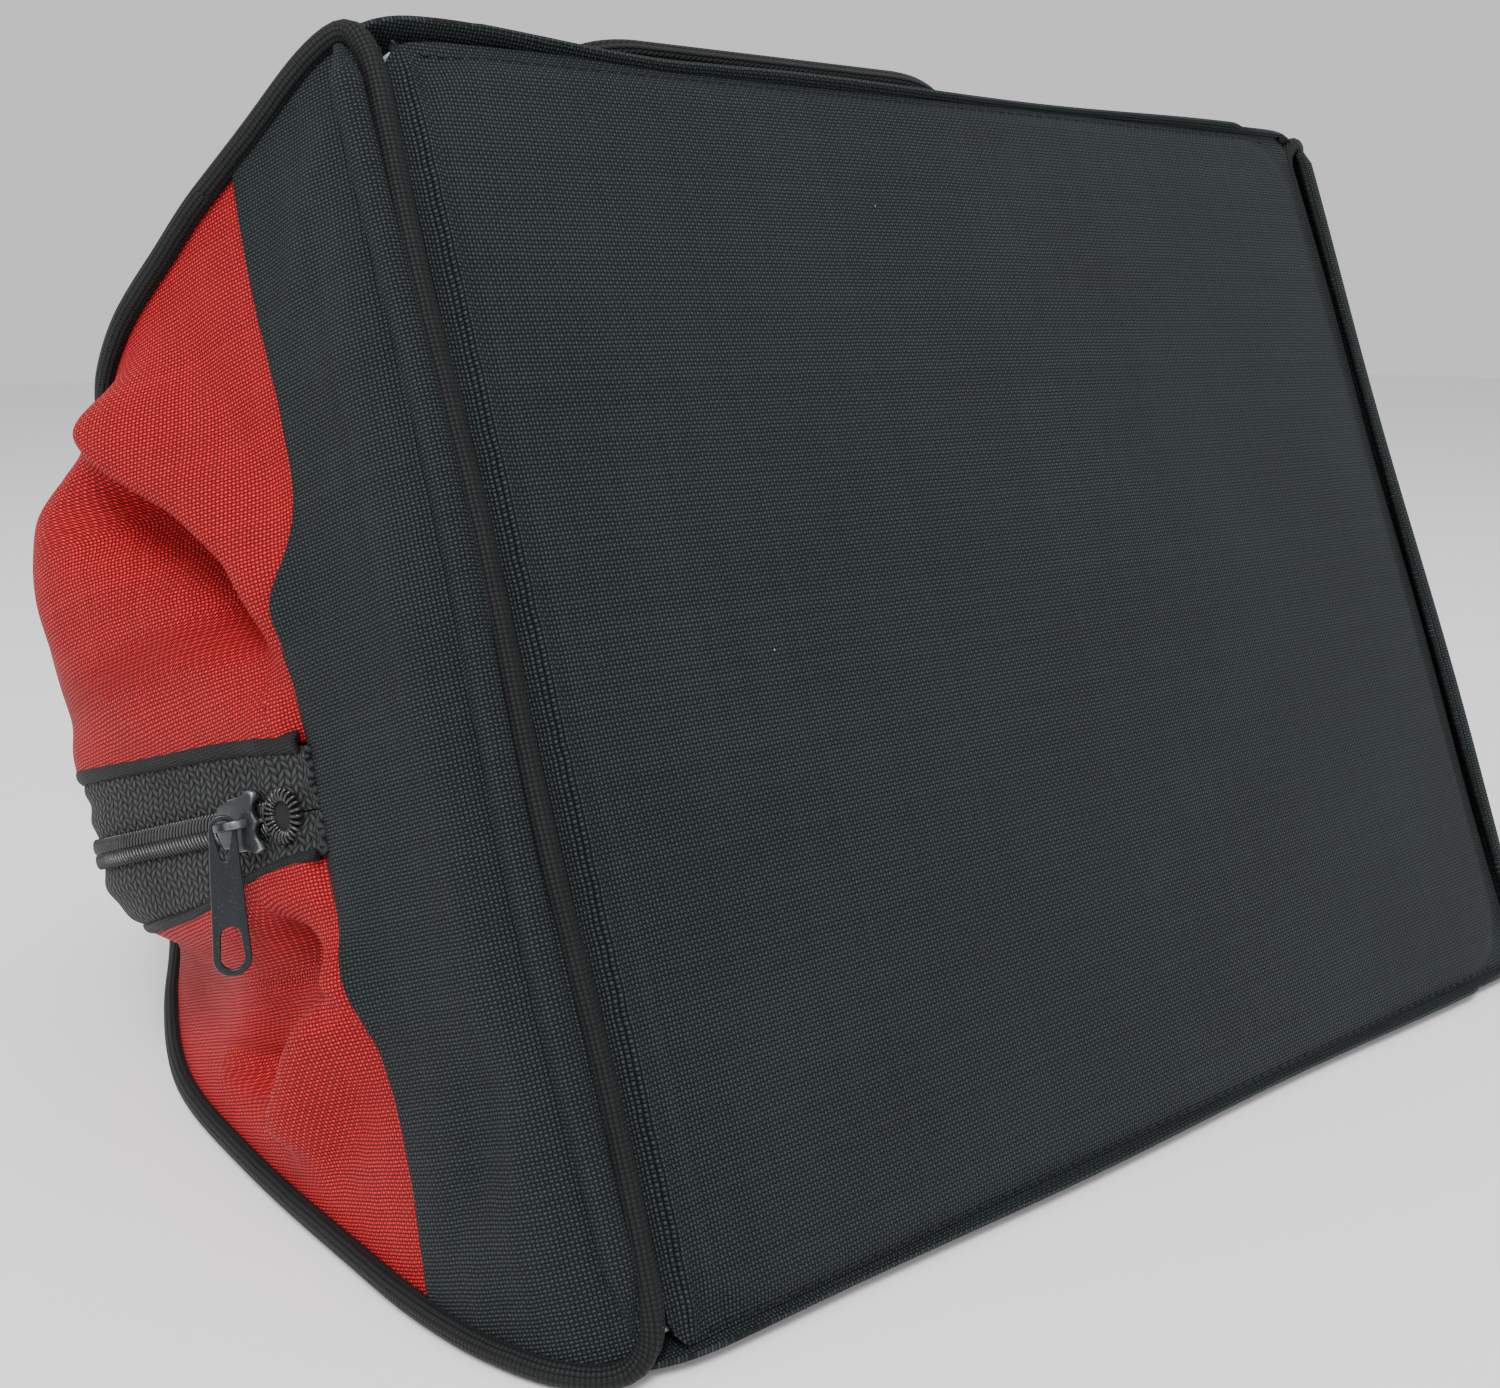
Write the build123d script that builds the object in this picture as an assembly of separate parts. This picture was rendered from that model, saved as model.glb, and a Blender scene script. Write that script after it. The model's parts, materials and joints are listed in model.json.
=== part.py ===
from build123d import *
import math
import os

# A gable-shaped fabric bag for lithium batteries, lying on one sloping side as it is put down.
# It is modelled standing on its base, X along it, Y across it and Z up, and then laid on its side.
# Millimetres and degrees.

# Body
base_length = 270.0
base_width = 250.0
ridge_height = 248.0
side_lean = 23.4
band_height = 43.0
# How far each end stands out past the base at four heights
end_flare = ((5.0, 0.0), (29.0, 35.0), (56.0, 120.0), (16.0, ridge_height))
shell = 1.4
lining = 0.9
lining_gap = 0.2
board_thickness = 3.0
board_length = 262.0
board_width = 236.0
board_corner = 14.0
piping_radius = 2.4
piping_stand_off = 1.2
hem_width = 8.0
hem_thickness = 1.0

# Zipper
tape_half_width = 16.5
tape_proud = 1.2
chain_gap = 0.6
coil_width = 2.6
coil_height = 1.6
binding_width = 7.0
binding_thickness = 0.8
zip_centre_low = 17.0
zip_lean = 17.0
eye_height = 53.0
eye_radius = 3.2
eye_wire = 1.2
slider_height = 66.0
coil_start = 59.0
slider_length = 13.0
slider_width = 11.0
slider_plate = 1.6
pull_length = 32.5
pull_skew = 8.5
pull_turn = 55.0
pull_thickness = 1.2

# Handles
handle_slant = 172.0
handle_spacing = 130.0
handle_reach = 153.0
handle_corner = 50.0
handle_skew = -22.0
handle_lift = 8.5
webbing_width = 25.0
webbing_thickness = 2.4
leg_length = 90.0
grip_width = 13.0
grip_thickness = 4.8
sewn_length = 42.0
sewn_off_panel = 0.05
loose_off_panel = 0.95
leg_gap = 1.0
shoulder_gap = 0.25

# Room between bodies that move apart, and how far the mouth's axis stands outside the upper side
running_gap = 0.3
mouth_axis_outboard = 5.0

side_slope = math.tan(math.radians(side_lean))
ridge_half = base_width / 2 - side_slope * ridge_height
half_length = base_length / 2
far_away = 600.0


def side_y(z):
    """Half the bag's width at a height."""
    return base_width / 2 - side_slope * z


def end_x(z):
    """How far the end wall is from the bag's middle at a height."""
    for (low_out, low_z), (high_out, high_z) in zip(end_flare, end_flare[1:]):
        if z <= high_z:
            return half_length + low_out + (high_out - low_out) * (z - low_z) / (high_z - low_z)
    return half_length + end_flare[-1][0]


def zip_y(z):
    """The zipper's centre line on an end, which leans to one side low down."""
    return zip_centre_low - zip_lean * z / ridge_height


def along_prism(inset):
    """The bag's side outline, drawn in by an inset and run right across."""
    right = [(half_length + out, z) for out, z in end_flare]
    left = [(-x, z) for x, z in reversed(right)]
    outline = Polygon(*right, *left, align=None)
    if inset:
        outline = offset(outline, -inset, kind=Kind.INTERSECTION)
    return extrude(Plane.XZ * outline, far_away, both=True)


def across_prism(inset):
    """The bag's end outline, drawn in by an inset and run right along."""
    half = base_width / 2
    corners = ((-half, 0), (half, 0), (ridge_half, ridge_height), (-ridge_half, ridge_height))
    outline = Polygon(*corners, align=None)
    if inset:
        outline = offset(outline, -inset, kind=Kind.INTERSECTION)
    return extrude(Plane.YZ * outline, far_away, both=True)


def envelope(inset):
    """The solid shape of the bag, drawn in by an inset, or grown where the inset is negative."""
    return along_prism(inset) & across_prism(inset)


def slab(low_z, high_z):
    """Everything between two heights."""
    return Pos(0, 0, (low_z + high_z) / 2) * Box(far_away, far_away, high_z - low_z)


def strip(low_z, high_z, left, right):
    """A band that follows the zipper's centre line up the ends, between two offsets from it."""
    points = [
        (zip_y(low_z) + left, low_z),
        (zip_y(low_z) + right, low_z),
        (zip_y(high_z) + right, high_z),
        (zip_y(high_z) + left, high_z),
    ]
    return extrude(Plane.YZ * Polygon(*points, align=None), far_away, both=True)


def half_space(side):
    """Everything at one end of the bag, -1 for the near end and 1 for the far end."""
    return Pos(side * far_away / 2, 0, 0) * Box(far_away, far_away, 2 * far_away)


def rod(points, radius):
    """A round bar with ball joints along a list of points."""
    bar = Pos(*points[0]) * Sphere(radius)
    for start, end in zip(points, points[1:]):
        run = Vector(*end) - Vector(*start)
        bar += Plane(origin=start, z_dir=run) * Cylinder(
            radius, run.length, align=(Align.CENTER, Align.CENTER, Align.MIN)
        )
        bar += Pos(*end) * Sphere(radius)
    return bar


parts = {}
ends = {"near": -1, "far": 1}
ridge_top = ridge_height + tape_proud
outer_skin = envelope(0) - envelope(shell)
walls = outer_skin & slab(shell, ridge_height - shell)
end_walls = walls - along_prism(shell)
side_walls = walls & along_prism(shell)
tape_edge = tape_half_width + running_gap
upper_half = strip(-far_away, far_away, -far_away, -tape_edge)
lower_half = strip(-far_away, far_away, tape_half_width, far_away)
toward_upper = Pos(0, -far_away / 2, 0) * Box(far_away, far_away, 2 * far_away)
toward_lower = Pos(0, far_away / 2, 0) * Box(far_away, far_away, 2 * far_away)
band_zone = slab(shell, band_height)
mouth_zone = slab(band_height + running_gap, ridge_height - shell)
root_zone = slab(band_height, ridge_height - shell)

# Base: outer fabric, stiffener board and the fire-resistant lining over it
parts["base_fabric"] = outer_skin & slab(0, shell)
board_outline = RectangleRounded(board_length, board_width, board_corner)
parts["base_board"] = Pos(0, 0, shell) * extrude(board_outline, board_thickness)
lining_floor = shell + board_thickness + 0.1
lined_space = envelope(shell + lining_gap)
parts["base_lining"] = lined_space & slab(lining_floor, lining_floor + lining)

# Black bands round the foot, and the red panels above them
parts["upper_side_band"] = side_walls & toward_upper & band_zone
parts["lower_side_band"] = side_walls & toward_lower & band_zone
parts["upper_side_panel"] = side_walls & toward_upper & mouth_zone
parts["lower_side_panel"] = side_walls & toward_lower & root_zone
for end, side in ends.items():
    wall = end_walls & half_space(side)
    parts[f"{end}_end_band"] = wall & band_zone
    parts[f"{end}_gusset_upper"] = wall & mouth_zone & upper_half
    parts[f"{end}_gusset_lower"] = wall & root_zone & lower_half

# Linings: one behind each wall
lining_top = ridge_height - 8.0
lining_low = lining_floor + lining + 0.1
lining_skin = lined_space - envelope(shell + lining_gap + lining)
lining_ends = lining_skin - along_prism(shell + lining_gap + lining)
lining_sides = lining_skin & along_prism(shell + lining_gap + lining)
low_lining = slab(lining_low, band_height)
mouth_lining = slab(band_height + running_gap, lining_top)
parts["upper_band_lining"] = lining_sides & toward_upper & low_lining
parts["upper_side_lining"] = lining_sides & toward_upper & mouth_lining
parts["lower_side_lining"] = lining_sides & toward_lower & slab(lining_low, lining_top)
for end, side in ends.items():
    wall = lining_ends & half_space(side)
    parts[f"{end}_band_lining"] = wall & low_lining
    parts[f"{end}_lining_upper"] = wall & mouth_lining & upper_half
    parts[f"{end}_lining_lower"] = wall & slab(band_height, lining_top) & lower_half

# Piping round each end seam: the upper stretch moves with the mouth
corner_heights = [z for out, z in end_flare]
clear_of_shell = envelope(-0.05)
for end, side in ends.items():
    grow = piping_stand_off

    def corner(z, hand):
        return (side * (end_x(z) + grow), hand * (side_y(z) + grow), z)

    base_corners = [(side * (end_x(0) + 2 * grow), hand * side_y(0), piping_radius) for hand in (-1, 1)]
    band_corner = corner(band_height - piping_radius, -1)
    mouth_corner = corner(band_height + piping_radius + running_gap, -1)
    rising = corner_heights[1:]
    root_route = [band_corner, corner(corner_heights[1], -1)] + base_corners + [corner(z, 1) for z in rising]
    mouth_route = [mouth_corner] + [corner(z, -1) for z in rising[1:]]
    parts[f"{end}_piping"] = rod(root_route, piping_radius) - clear_of_shell
    parts[f"{end}_piping_upper"] = rod(mouth_route, piping_radius) - clear_of_shell

# Hems along the base's two long edges
hem_skin = envelope(-hem_thickness) - envelope(0)
hem_length = 2 * (end_x(0) - piping_radius - 2.0)
hem_zone = Pos(0, 0, hem_width / 2) * Box(hem_length, far_away, hem_width)
parts["upper_base_hem"] = hem_skin & hem_zone & toward_upper
parts["lower_base_hem"] = hem_skin & hem_zone & toward_lower

# Zipper tapes, coils and bindings. The end stretches stay on the lower half of the bag
tape_skin = envelope(-tape_proud) - envelope(shell)
coil_skin = envelope(-tape_proud - coil_height) - envelope(-tape_proud)
binding_skin = envelope(-binding_thickness) - envelope(0)
end_top = ridge_height - shell - running_gap
tape_foot = band_height + 2.0
coil_edge = chain_gap + coil_width
for end, side in ends.items():
    at_end = half_space(side)
    tape_wall = tape_skin - along_prism(shell)
    coil_wall = coil_skin - along_prism(-tape_proud)
    binding_wall = (binding_skin - along_prism(0)) & at_end
    for half, hand in (("upper", -1), ("lower", 1)):
        tape_sides = sorted((hand * chain_gap, hand * tape_half_width))
        coil_sides = sorted((hand * chain_gap, hand * coil_edge))
        parts[f"{end}_tape_{half}"] = tape_wall & at_end & strip(tape_foot, end_top, *tape_sides)
        parts[f"{end}_coil_{half}"] = coil_wall & at_end & strip(coil_start, end_top, *coil_sides)
    foot = band_height + 1.0
    top = ridge_height - 30.0
    parts[f"{end}_binding_upper"] = binding_wall & strip(foot, top, -tape_edge - binding_width, -tape_edge)
    parts[f"{end}_binding_lower"] = binding_wall & strip(
        foot, top, tape_half_width, tape_half_width + binding_width
    )

ridge_zone = slab(ridge_height - shell, ridge_height + far_away / 2)
ridge_length = 2 * (end_x(ridge_height) - piping_radius - 0.6)
ridge_tape = tape_skin & ridge_zone & Box(ridge_length, 2 * ridge_half, 2 * far_away)
ridge_coil = coil_skin & slab(ridge_top, ridge_top + coil_height) & Box(ridge_length, far_away, 2 * far_away)
parts["ridge_tape_upper"] = ridge_tape & Pos(0, -far_away / 2 - chain_gap, 0) * Box(
    far_away, far_away, 2 * far_away
)
parts["ridge_tape_lower"] = ridge_tape & Pos(0, far_away / 2 + chain_gap, 0) * Box(
    far_away, far_away, 2 * far_away
)
coil_bar = Box(far_away, coil_width, 2 * far_away)
parts["ridge_coil_upper"] = ridge_coil & Pos(0, -chain_gap - coil_width / 2, 0) * coil_bar
parts["ridge_coil_lower"] = ridge_coil & Pos(0, chain_gap + coil_width / 2, 0) * coil_bar
ridge_binding = binding_skin & slab(ridge_height - binding_width, ridge_height - shell)
ridge_binding = ridge_binding & Box(ridge_length, far_away, 2 * far_away)
parts["ridge_binding_upper"] = ridge_binding & toward_upper
parts["ridge_binding_lower"] = ridge_binding & toward_lower

# Slider, eye and pull. The slider's plane lies on the near tape, x up the chain and z outward
(low_out, low_z), (high_out, high_z) = end_flare[1], end_flare[2]
rise = high_z - low_z
outward = Vector(-rise, 0, -(high_out - low_out)).normalized()
up_chain = Vector(-(high_out - low_out), -zip_lean * rise / ridge_height, rise).normalized()


def on_tape(z):
    """A plane on the near tape's outer face at a height, x up the chain and z outward."""
    surface = Vector(-end_x(z), zip_y(z), z) + outward * tape_proud
    return Plane(origin=surface, x_dir=up_chain, z_dir=outward)


for end, side in ends.items():
    eye_place = on_tape(eye_height) * Pos(0, 0, eye_wire)
    eye = eye_place * Torus(eye_radius, eye_wire)
    parts[f"{end}_zip_eye"] = eye if end == "near" else mirror(eye, Plane.YZ)

slider_gap = 0.35
slider_corner = 2.2
flange_length = slider_length - 2 * slider_corner
back_length = slider_length - 2.0
back_width = 9.0
plate_low = coil_height + 0.6
plate_high = plate_low + slider_plate
flange_inner = coil_edge + 1.0
flange_thickness = slider_width / 2 - flange_inner
back_plate_top = -(tape_proud + shell) - slider_gap
post_length = 3.0
post_centre = -slider_length / 2 + post_length / 2
slider = Pos(0, 0, (plate_low + plate_high) / 2) * Box(slider_length, slider_width, slider_plate)
slider = fillet(slider.edges().filter_by(Axis.Z), slider_corner)
for hand in (-1, 1):
    flange_y = hand * (flange_inner + flange_thickness / 2)
    flange_z = (slider_gap + plate_low) / 2
    slider += Pos(0, flange_y, flange_z) * Box(flange_length, flange_thickness, plate_low - slider_gap)
post_low = back_plate_top - slider_plate
post = Box(post_length, chain_gap, plate_high - post_low)
slider += Pos(post_centre, 0, (plate_high + post_low) / 2) * post
slider += Pos(0, 0, back_plate_top - slider_plate / 2) * Box(back_length, back_width, slider_plate)

# Bridge: an arch along the slider, whose bar the pull's eye hangs from
bridge_height = 3.0
bridge_half_span = 3.2
bridge_wall = 1.0
bridge_width = 1.8
upright = (Align.CENTER, Align.CENTER, Align.MIN)
bridge_length = 2 * (bridge_half_span + bridge_wall)
arch = Box(bridge_length, bridge_width, bridge_height + bridge_wall / 2, align=upright)
arch = fillet(arch.edges().filter_by(Axis.Y).group_by(Axis.Z)[-1], 0.8 * bridge_wall)
arch -= Box(2 * bridge_half_span, 2 * bridge_width, bridge_height - bridge_wall / 2, align=upright)
parts["slider"] = on_tape(slider_height) * (slider + Pos(0, 0, plate_high) * arch)

# Pull: it hangs across the chain from the bridge's bar, and faces partly down the chain
slider_plane = on_tape(slider_height)
skew = math.radians(pull_skew)
turn = math.radians(pull_turn)
pull_down = slider_plane.y_dir * math.cos(skew) + slider_plane.x_dir * math.sin(skew)
pull_side = outward.cross(pull_down)
pull_face_way = outward * math.cos(turn) + pull_side * math.sin(turn)
pull_origin = slider_plane.origin + outward * (plate_high + bridge_height)
pull_plane = Plane(origin=pull_origin, x_dir=pull_down, z_dir=pull_face_way)
pull_top = (2.65, 0.15, 0.0)
pull_bottom_radius = 3.75
pull_tip = pull_length - pull_top[0] + pull_top[1] - pull_bottom_radius
eye_corners = ((1.5, 0.2, 0.4), (1.5, 0.2, -0.4), (0.7, 6.0, 0.0))
finger_ends = ((1.8, pull_tip - 6.8, 0.0), (2.5, pull_tip, 0.0))


def outline_round(circles):
    """The outline drawn tight round circles, each a radius and a place."""
    return make_hull([edge for r, x, y in circles for edge in (Pos(x, y) * Circle(r)).edges()])


pull_face = outline_round([pull_top, (pull_bottom_radius, pull_tip, 0.0)])
pull_face = pull_face - outline_round(eye_corners) - outline_round(finger_ends)
parts["pull_tab"] = pull_plane * Pos(0, 0, -pull_thickness / 2) * extrude(pull_face, pull_thickness)


def handle(skew_x, thickness, plane):
    """A webbing handle: two flat legs, a folded grip that joins them, and the ends sewn to the panel."""
    half = handle_spacing / 2
    tilt = math.degrees(math.atan2(skew_x, handle_reach))
    legs = Compound(
        [
            plane * Pos(hand * half, leg_gap, 0) * Rot(0, 0, -tilt) * Box(
                webbing_width, leg_length, webbing_thickness, align=(Align.CENTER, Align.MIN, Align.CENTER)
            )
            for hand in (-1, 1)
        ]
    )
    leg_end_x = leg_length * math.sin(math.radians(tilt))
    leg_end_y = leg_gap + leg_length * math.cos(math.radians(tilt))
    corners = [
        (leg_end_x - half, leg_end_y),
        (skew_x - half, handle_reach),
        (skew_x + half, handle_reach),
        (leg_end_x + half, leg_end_y),
    ]
    line = FilletPolyline(*corners, radius=handle_corner)
    grip = extrude(trace(line, grip_width), thickness / 2, both=True)
    room = Compound(
        [
            Pos(hand * half, leg_gap, 0) * Rot(0, 0, -tilt) * Box(
                webbing_width + 1, leg_length + shoulder_gap, 3 * thickness,
                align=(Align.CENTER, Align.MIN, Align.CENTER),
            )
            for hand in (-1, 1)
        ]
    )
    return legs, plane * (grip - room)


def sewn_ends(plane):
    """The two webbing ends stitched to a side panel below a handle."""
    size = (webbing_width, sewn_length, webbing_thickness)
    end = Box(*size, align=(Align.CENTER, Align.MAX, Align.CENTER))
    return Compound([plane * Pos(hand * handle_spacing / 2, -leg_gap, 0) * end for hand in (-1, 1)])


lean = math.radians(side_lean)
sewn_off = webbing_thickness / 2 + sewn_off_panel
loose_off = webbing_thickness / 2 + loose_off_panel
panel_low = Vector(0, base_width / 2, 0)
panel_up = Vector(0, -math.sin(lean), math.cos(lean))
panel_out = Vector(0, math.cos(lean), math.sin(lean))
along = Vector(1, 0, 0)
lower_seam = panel_low + panel_up * handle_slant
lower_plane = Plane(origin=lower_seam + panel_out * loose_off, x_dir=along, z_dir=along.cross(panel_up))
lower_sewn = Plane(origin=lower_seam + panel_out * sewn_off, x_dir=along, z_dir=along.cross(panel_up))
parts["lower_handle_ends"] = sewn_ends(lower_sewn)
parts["lower_handle_webbing"], parts["lower_handle_grip"] = handle(0, webbing_thickness, lower_plane)

up_on_upper = Vector(0, math.sin(lean), math.cos(lean))
upper_out = Vector(0, -math.cos(lean), math.sin(lean))
upper_pivot = Vector(0, -base_width / 2, 0) + up_on_upper * handle_slant + upper_out * sewn_off
sewn_plane = Plane(origin=upper_pivot, x_dir=along, z_dir=along.cross(up_on_upper))
parts["upper_handle_ends"] = sewn_ends(sewn_plane)
lift = math.radians(handle_lift)
flop_pivot = upper_pivot + upper_out * (webbing_thickness + 0.4)
flopped = upper_out * math.sin(lift) - up_on_upper * math.cos(lift)
flopped_plane = Plane(origin=flop_pivot, x_dir=along, z_dir=along.cross(flopped))
parts["upper_handle_webbing"], parts["upper_handle_grip"] = handle(handle_skew, grip_thickness, flopped_plane)

# Lay the bag on its lower side, with its origin under the middle of its box
rest_turn = Rot(-(90.0 + side_lean), 0, 0)
laid = {name: rest_turn * shape for name, shape in parts.items()}
box = Compound([solid for shape in laid.values() for solid in shape.solids()]).bounding_box()
to_origin = Pos(-(box.min.X + box.max.X) / 2, -(box.min.Y + box.max.Y) / 2, -box.min.Z)

os.makedirs("parts", exist_ok=True)
for name, shape in laid.items():
    export_step(to_origin * shape, f"parts/{name}.step")

# The joints' places in the laid frame
mouth_pivot = Vector(0, -side_y(band_height) - mouth_axis_outboard, band_height)
places = {
    "mouth": mouth_pivot,
    "slider": slider_plane.origin,
    "pull": pull_origin,
    "upper handle": flop_pivot,
    "lower handle": lower_seam + panel_out * (loose_off + webbing_thickness / 2 + 0.15),
    "base": Vector(0, 0, 0),
    "lower panel": panel_low + panel_up * 100.0,
}
for name, place in places.items():
    print(name, "at", (to_origin * rest_turn * Pos(*place)).position)
for name, way in (("slide and pull", slider_plane.x_dir), ("base out", Vector(0, 0, -1))):
    print(name, "axis", (rest_turn * Pos(*way)).position)
print("box", box.size)
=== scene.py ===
import json
import math

import bmesh
import bpy
import numpy as np
from mathutils import Matrix, Vector, noise


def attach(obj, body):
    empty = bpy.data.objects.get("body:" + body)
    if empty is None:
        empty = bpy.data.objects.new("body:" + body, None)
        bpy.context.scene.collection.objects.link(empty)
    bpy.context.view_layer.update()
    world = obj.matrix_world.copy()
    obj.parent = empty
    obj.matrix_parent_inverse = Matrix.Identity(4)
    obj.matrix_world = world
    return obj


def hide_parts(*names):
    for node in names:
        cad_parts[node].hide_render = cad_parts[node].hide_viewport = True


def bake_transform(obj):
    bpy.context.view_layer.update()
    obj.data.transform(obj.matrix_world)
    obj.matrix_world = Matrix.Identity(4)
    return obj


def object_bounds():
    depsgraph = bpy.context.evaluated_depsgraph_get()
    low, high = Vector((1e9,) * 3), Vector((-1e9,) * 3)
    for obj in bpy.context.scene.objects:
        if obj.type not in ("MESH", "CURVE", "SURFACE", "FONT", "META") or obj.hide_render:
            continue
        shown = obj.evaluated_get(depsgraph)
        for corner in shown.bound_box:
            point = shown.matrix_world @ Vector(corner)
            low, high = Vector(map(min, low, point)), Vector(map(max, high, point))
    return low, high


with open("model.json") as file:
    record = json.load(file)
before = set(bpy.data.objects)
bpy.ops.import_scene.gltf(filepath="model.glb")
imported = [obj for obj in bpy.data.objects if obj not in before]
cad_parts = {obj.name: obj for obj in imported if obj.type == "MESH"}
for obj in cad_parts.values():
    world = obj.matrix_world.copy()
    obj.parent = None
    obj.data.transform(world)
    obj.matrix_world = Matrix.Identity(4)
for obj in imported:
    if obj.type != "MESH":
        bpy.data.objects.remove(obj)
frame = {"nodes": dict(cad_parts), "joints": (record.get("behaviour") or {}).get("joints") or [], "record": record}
cad_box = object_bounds()

bl_info = {
    "name": "Lipo safe bag",
    "version": (1, 0, 0),
    "blender": (4, 5, 0),
    "location": "View3D > Sidebar > Bag",
    "description": "Soft gable-shaped battery bag with piped ends, a zipped ridge and webbing handles",
    "category": "Object",
}

# The bag's own standing frame, in millimetres: x along it, y across it and z up from its base.
# The base_face mount says where that frame lies in the row.
BASE_FACE = next(m for m in frame["record"]["mounts"] if m["name"] == "base_face")
UP = -Vector(BASE_FACE["axis"])
ALONG = Vector((1, 0, 0))
ACROSS = UP.cross(ALONG)
NEAR, FAR = -1, 1
UPPER, LOWER = -1, 1
ENDS = ((NEAR, "near"), (FAR, "far"))
HANDS = ((UPPER, "upper"), (LOWER, "lower"))

HALF_LENGTH = 135.0
HALF_WIDTH = 125.0
RIDGE_HEIGHT = 248.0
SIDE_LEAN = math.radians(23.4)
SIDE_SLOPE = math.tan(SIDE_LEAN)
BAND_HEIGHT = 43.0
BOARD_LENGTH = 262.0
BOARD_WIDTH = 236.0
BOARD_CORNER = 14.0
BASE_REACH = 140.2
RIDGE_REACH = 148
LINING_INSET = -2.6
LINING_THICKNESS = 0.0008


def length(name, description, default, **more):
    """A size in metres, shown in the panel with its unit."""
    return bpy.props.FloatProperty(name=name, description=description, default=default, unit="LENGTH", **more)


def dye(name, description, default):
    """A cloth's colour."""
    return bpy.props.FloatVectorProperty(
        name=name, description=description, default=default, subtype="COLOR", size=3
    )


class BagSizes(bpy.types.PropertyGroup):
    """Sizes that an owner of the pattern would change"""

    cloth: length("Cloth", "Thickness of the coated cloth", 0.0013)
    thread: length("Thread", "Room that one thread of the cloth takes", 0.00072, precision=5)
    crown: length("Base crown", "How far the base cloth stands out over its board", 0.0026)
    piping: length("Piping", "Radius of the piping", 0.0025)
    stitch: length("Stitch", "Length of one stitch with its gap", 0.0034)
    coil_pitch: length("Coil pitch", "Room that one turn of the zipper's coil takes", 0.00125, precision=5)
    fold_depth: bpy.props.FloatProperty(
        name="Fold depth", description="Depth of the folds in the end walls, 1 as sewn",
        default=1.0, min=0.0, max=1.5,
    )


class BagColours(bpy.types.PropertyGroup):
    """Colours of the cloths and trims"""

    black: dye("Black cloth", "Coated cloth of the base and bands", (0.0052, 0.0088, 0.0100))
    red: dye("Red cloth", "Coated cloth of the upper walls", (0.50, 0.0036, 0.0100))
    trim: dye("Trim", "Piping, binding and webbing", (0.0042, 0.0052, 0.0058))
    braid: dye("Zipper tape", "Heavy braided tape of the zipper", (0.0060, 0.0064, 0.0068))
    lining: dye("Lining", "Glass cloth lining", (0.32, 0.33, 0.34))


def sizes():
    return bpy.context.scene.bag_sizes


def colours():
    return bpy.context.scene.bag_colours


# ---------------------------------------------------------------- shapes


def place(points):
    """Turns points in the bag's standing frame, in millimetres, into the row's frame."""
    return np.asarray(points, float) / 1000 @ np.array([ALONG, ACROSS, UP]) + np.array(BASE_FACE["pos_m"])


def smooth(*knots):
    """A smooth line through (place, value) pairs."""
    xs, ys = np.array(knots, float).T
    slopes = np.gradient(ys, xs)

    def line(x):
        x = np.clip(x, xs[0], xs[-1])
        i = np.clip(np.searchsorted(xs, x) - 1, 0, len(xs) - 2)
        step = xs[i + 1] - xs[i]
        t = (x - xs[i]) / step
        return (
            (1 + 2 * t) * (1 - t) ** 2 * ys[i]
            + t * (1 - t) ** 2 * step * slopes[i]
            + t * t * (3 - 2 * t) * ys[i + 1]
            + t * t * (t - 1) * step * slopes[i + 1]
        )

    return line


def ease(low, high, x):
    """0 below low, 1 above high, and a smooth rise between."""
    t = np.clip((np.asarray(x, float) - low) / (high - low), 0, 1)
    return t * t * (3 - 2 * t)


# How far the near end stands out past the base's length at heights, along its two seams and between
upper_seam = smooth(
    (0, 5), (3, 7.5), (10, 14), (17, 18.5), (23, 22), (32, 27.5), (40, 32), (52, 37), (68, 43), (82, 45),
    (110, 41), (150, 36), (200, 26), (248, 15)
)
lower_seam = smooth(
    (0, 5), (6, 16), (21.5, 28), (35, 33), (63, 38.5), (101, 44), (139, 46), (181, 37), (211, 27), (248, 16)
)
upper_bow = smooth(
    (0, 6), (8, 19), (20, 25), (35, 31), (60, 42), (92, 52), (125, 56), (150, 52), (200, 33), (248, 16)
)
lower_bow = smooth(
    (0, 6), (8, 19), (20, 25), (35, 31), (60, 40), (85, 45), (110, 44), (140, 38), (200, 25), (248, 16)
)
far_seam = smooth((0, 7), (8, 18), (32, 31), (60, 41), (92, 50), (120, 54), (150, 50), (200, 34), (248, 16))
# The zipper's straight run, which the slider follows
zip_run = smooth(
    (0, 5), (35, 29), (50, 33.76), (77.5, 42.5), (100, 49.65), (114, 54.1), (125, 55.9), (150, 50.5),
    (184, 37), (248, 16)
)
# The black band's top edge across an end
band_edge = smooth(
    (-125, 31), (-110, 31.5), (-91, 32), (-60, 30), (-42, 30.7), (-26, 38), (-7, 41), (5, 42), (30, 43),
    (52, 38.6), (64, 37), (77, 35.7), (110, 37), (125, 38)
)
# How far the zipper's tape shows on each side of the chain before the red cloth covers it
upper_tape_edge = smooth((25, 10), (43, 11.5), (62, 14), (100, 16.2), (248, 16.2))
lower_tape_edge = smooth((25, 7), (43, 7.8), (60, 9.2), (88, 15), (110, 16.2), (248, 16.2))
# How far the red cloth stands over the tape that it covers
RED_PROUD = 2.9


def side_y(z):
    return HALF_WIDTH - SIDE_SLOPE * z


def seam_y(hand, z, x=-HALF_LENGTH):
    """A side's place across the bag. The upper one is puffed out at the near end's foot."""
    puff = 4.0 * np.exp(-(((z - 4) / 22) ** 2)) * (1 - ease(-128, -70, x)) if hand == UPPER else 0.0
    return hand * (side_y(z) + puff)


def zip_y(z):
    return 17.0 - 17.0 * z / RIDGE_HEIGHT


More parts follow.
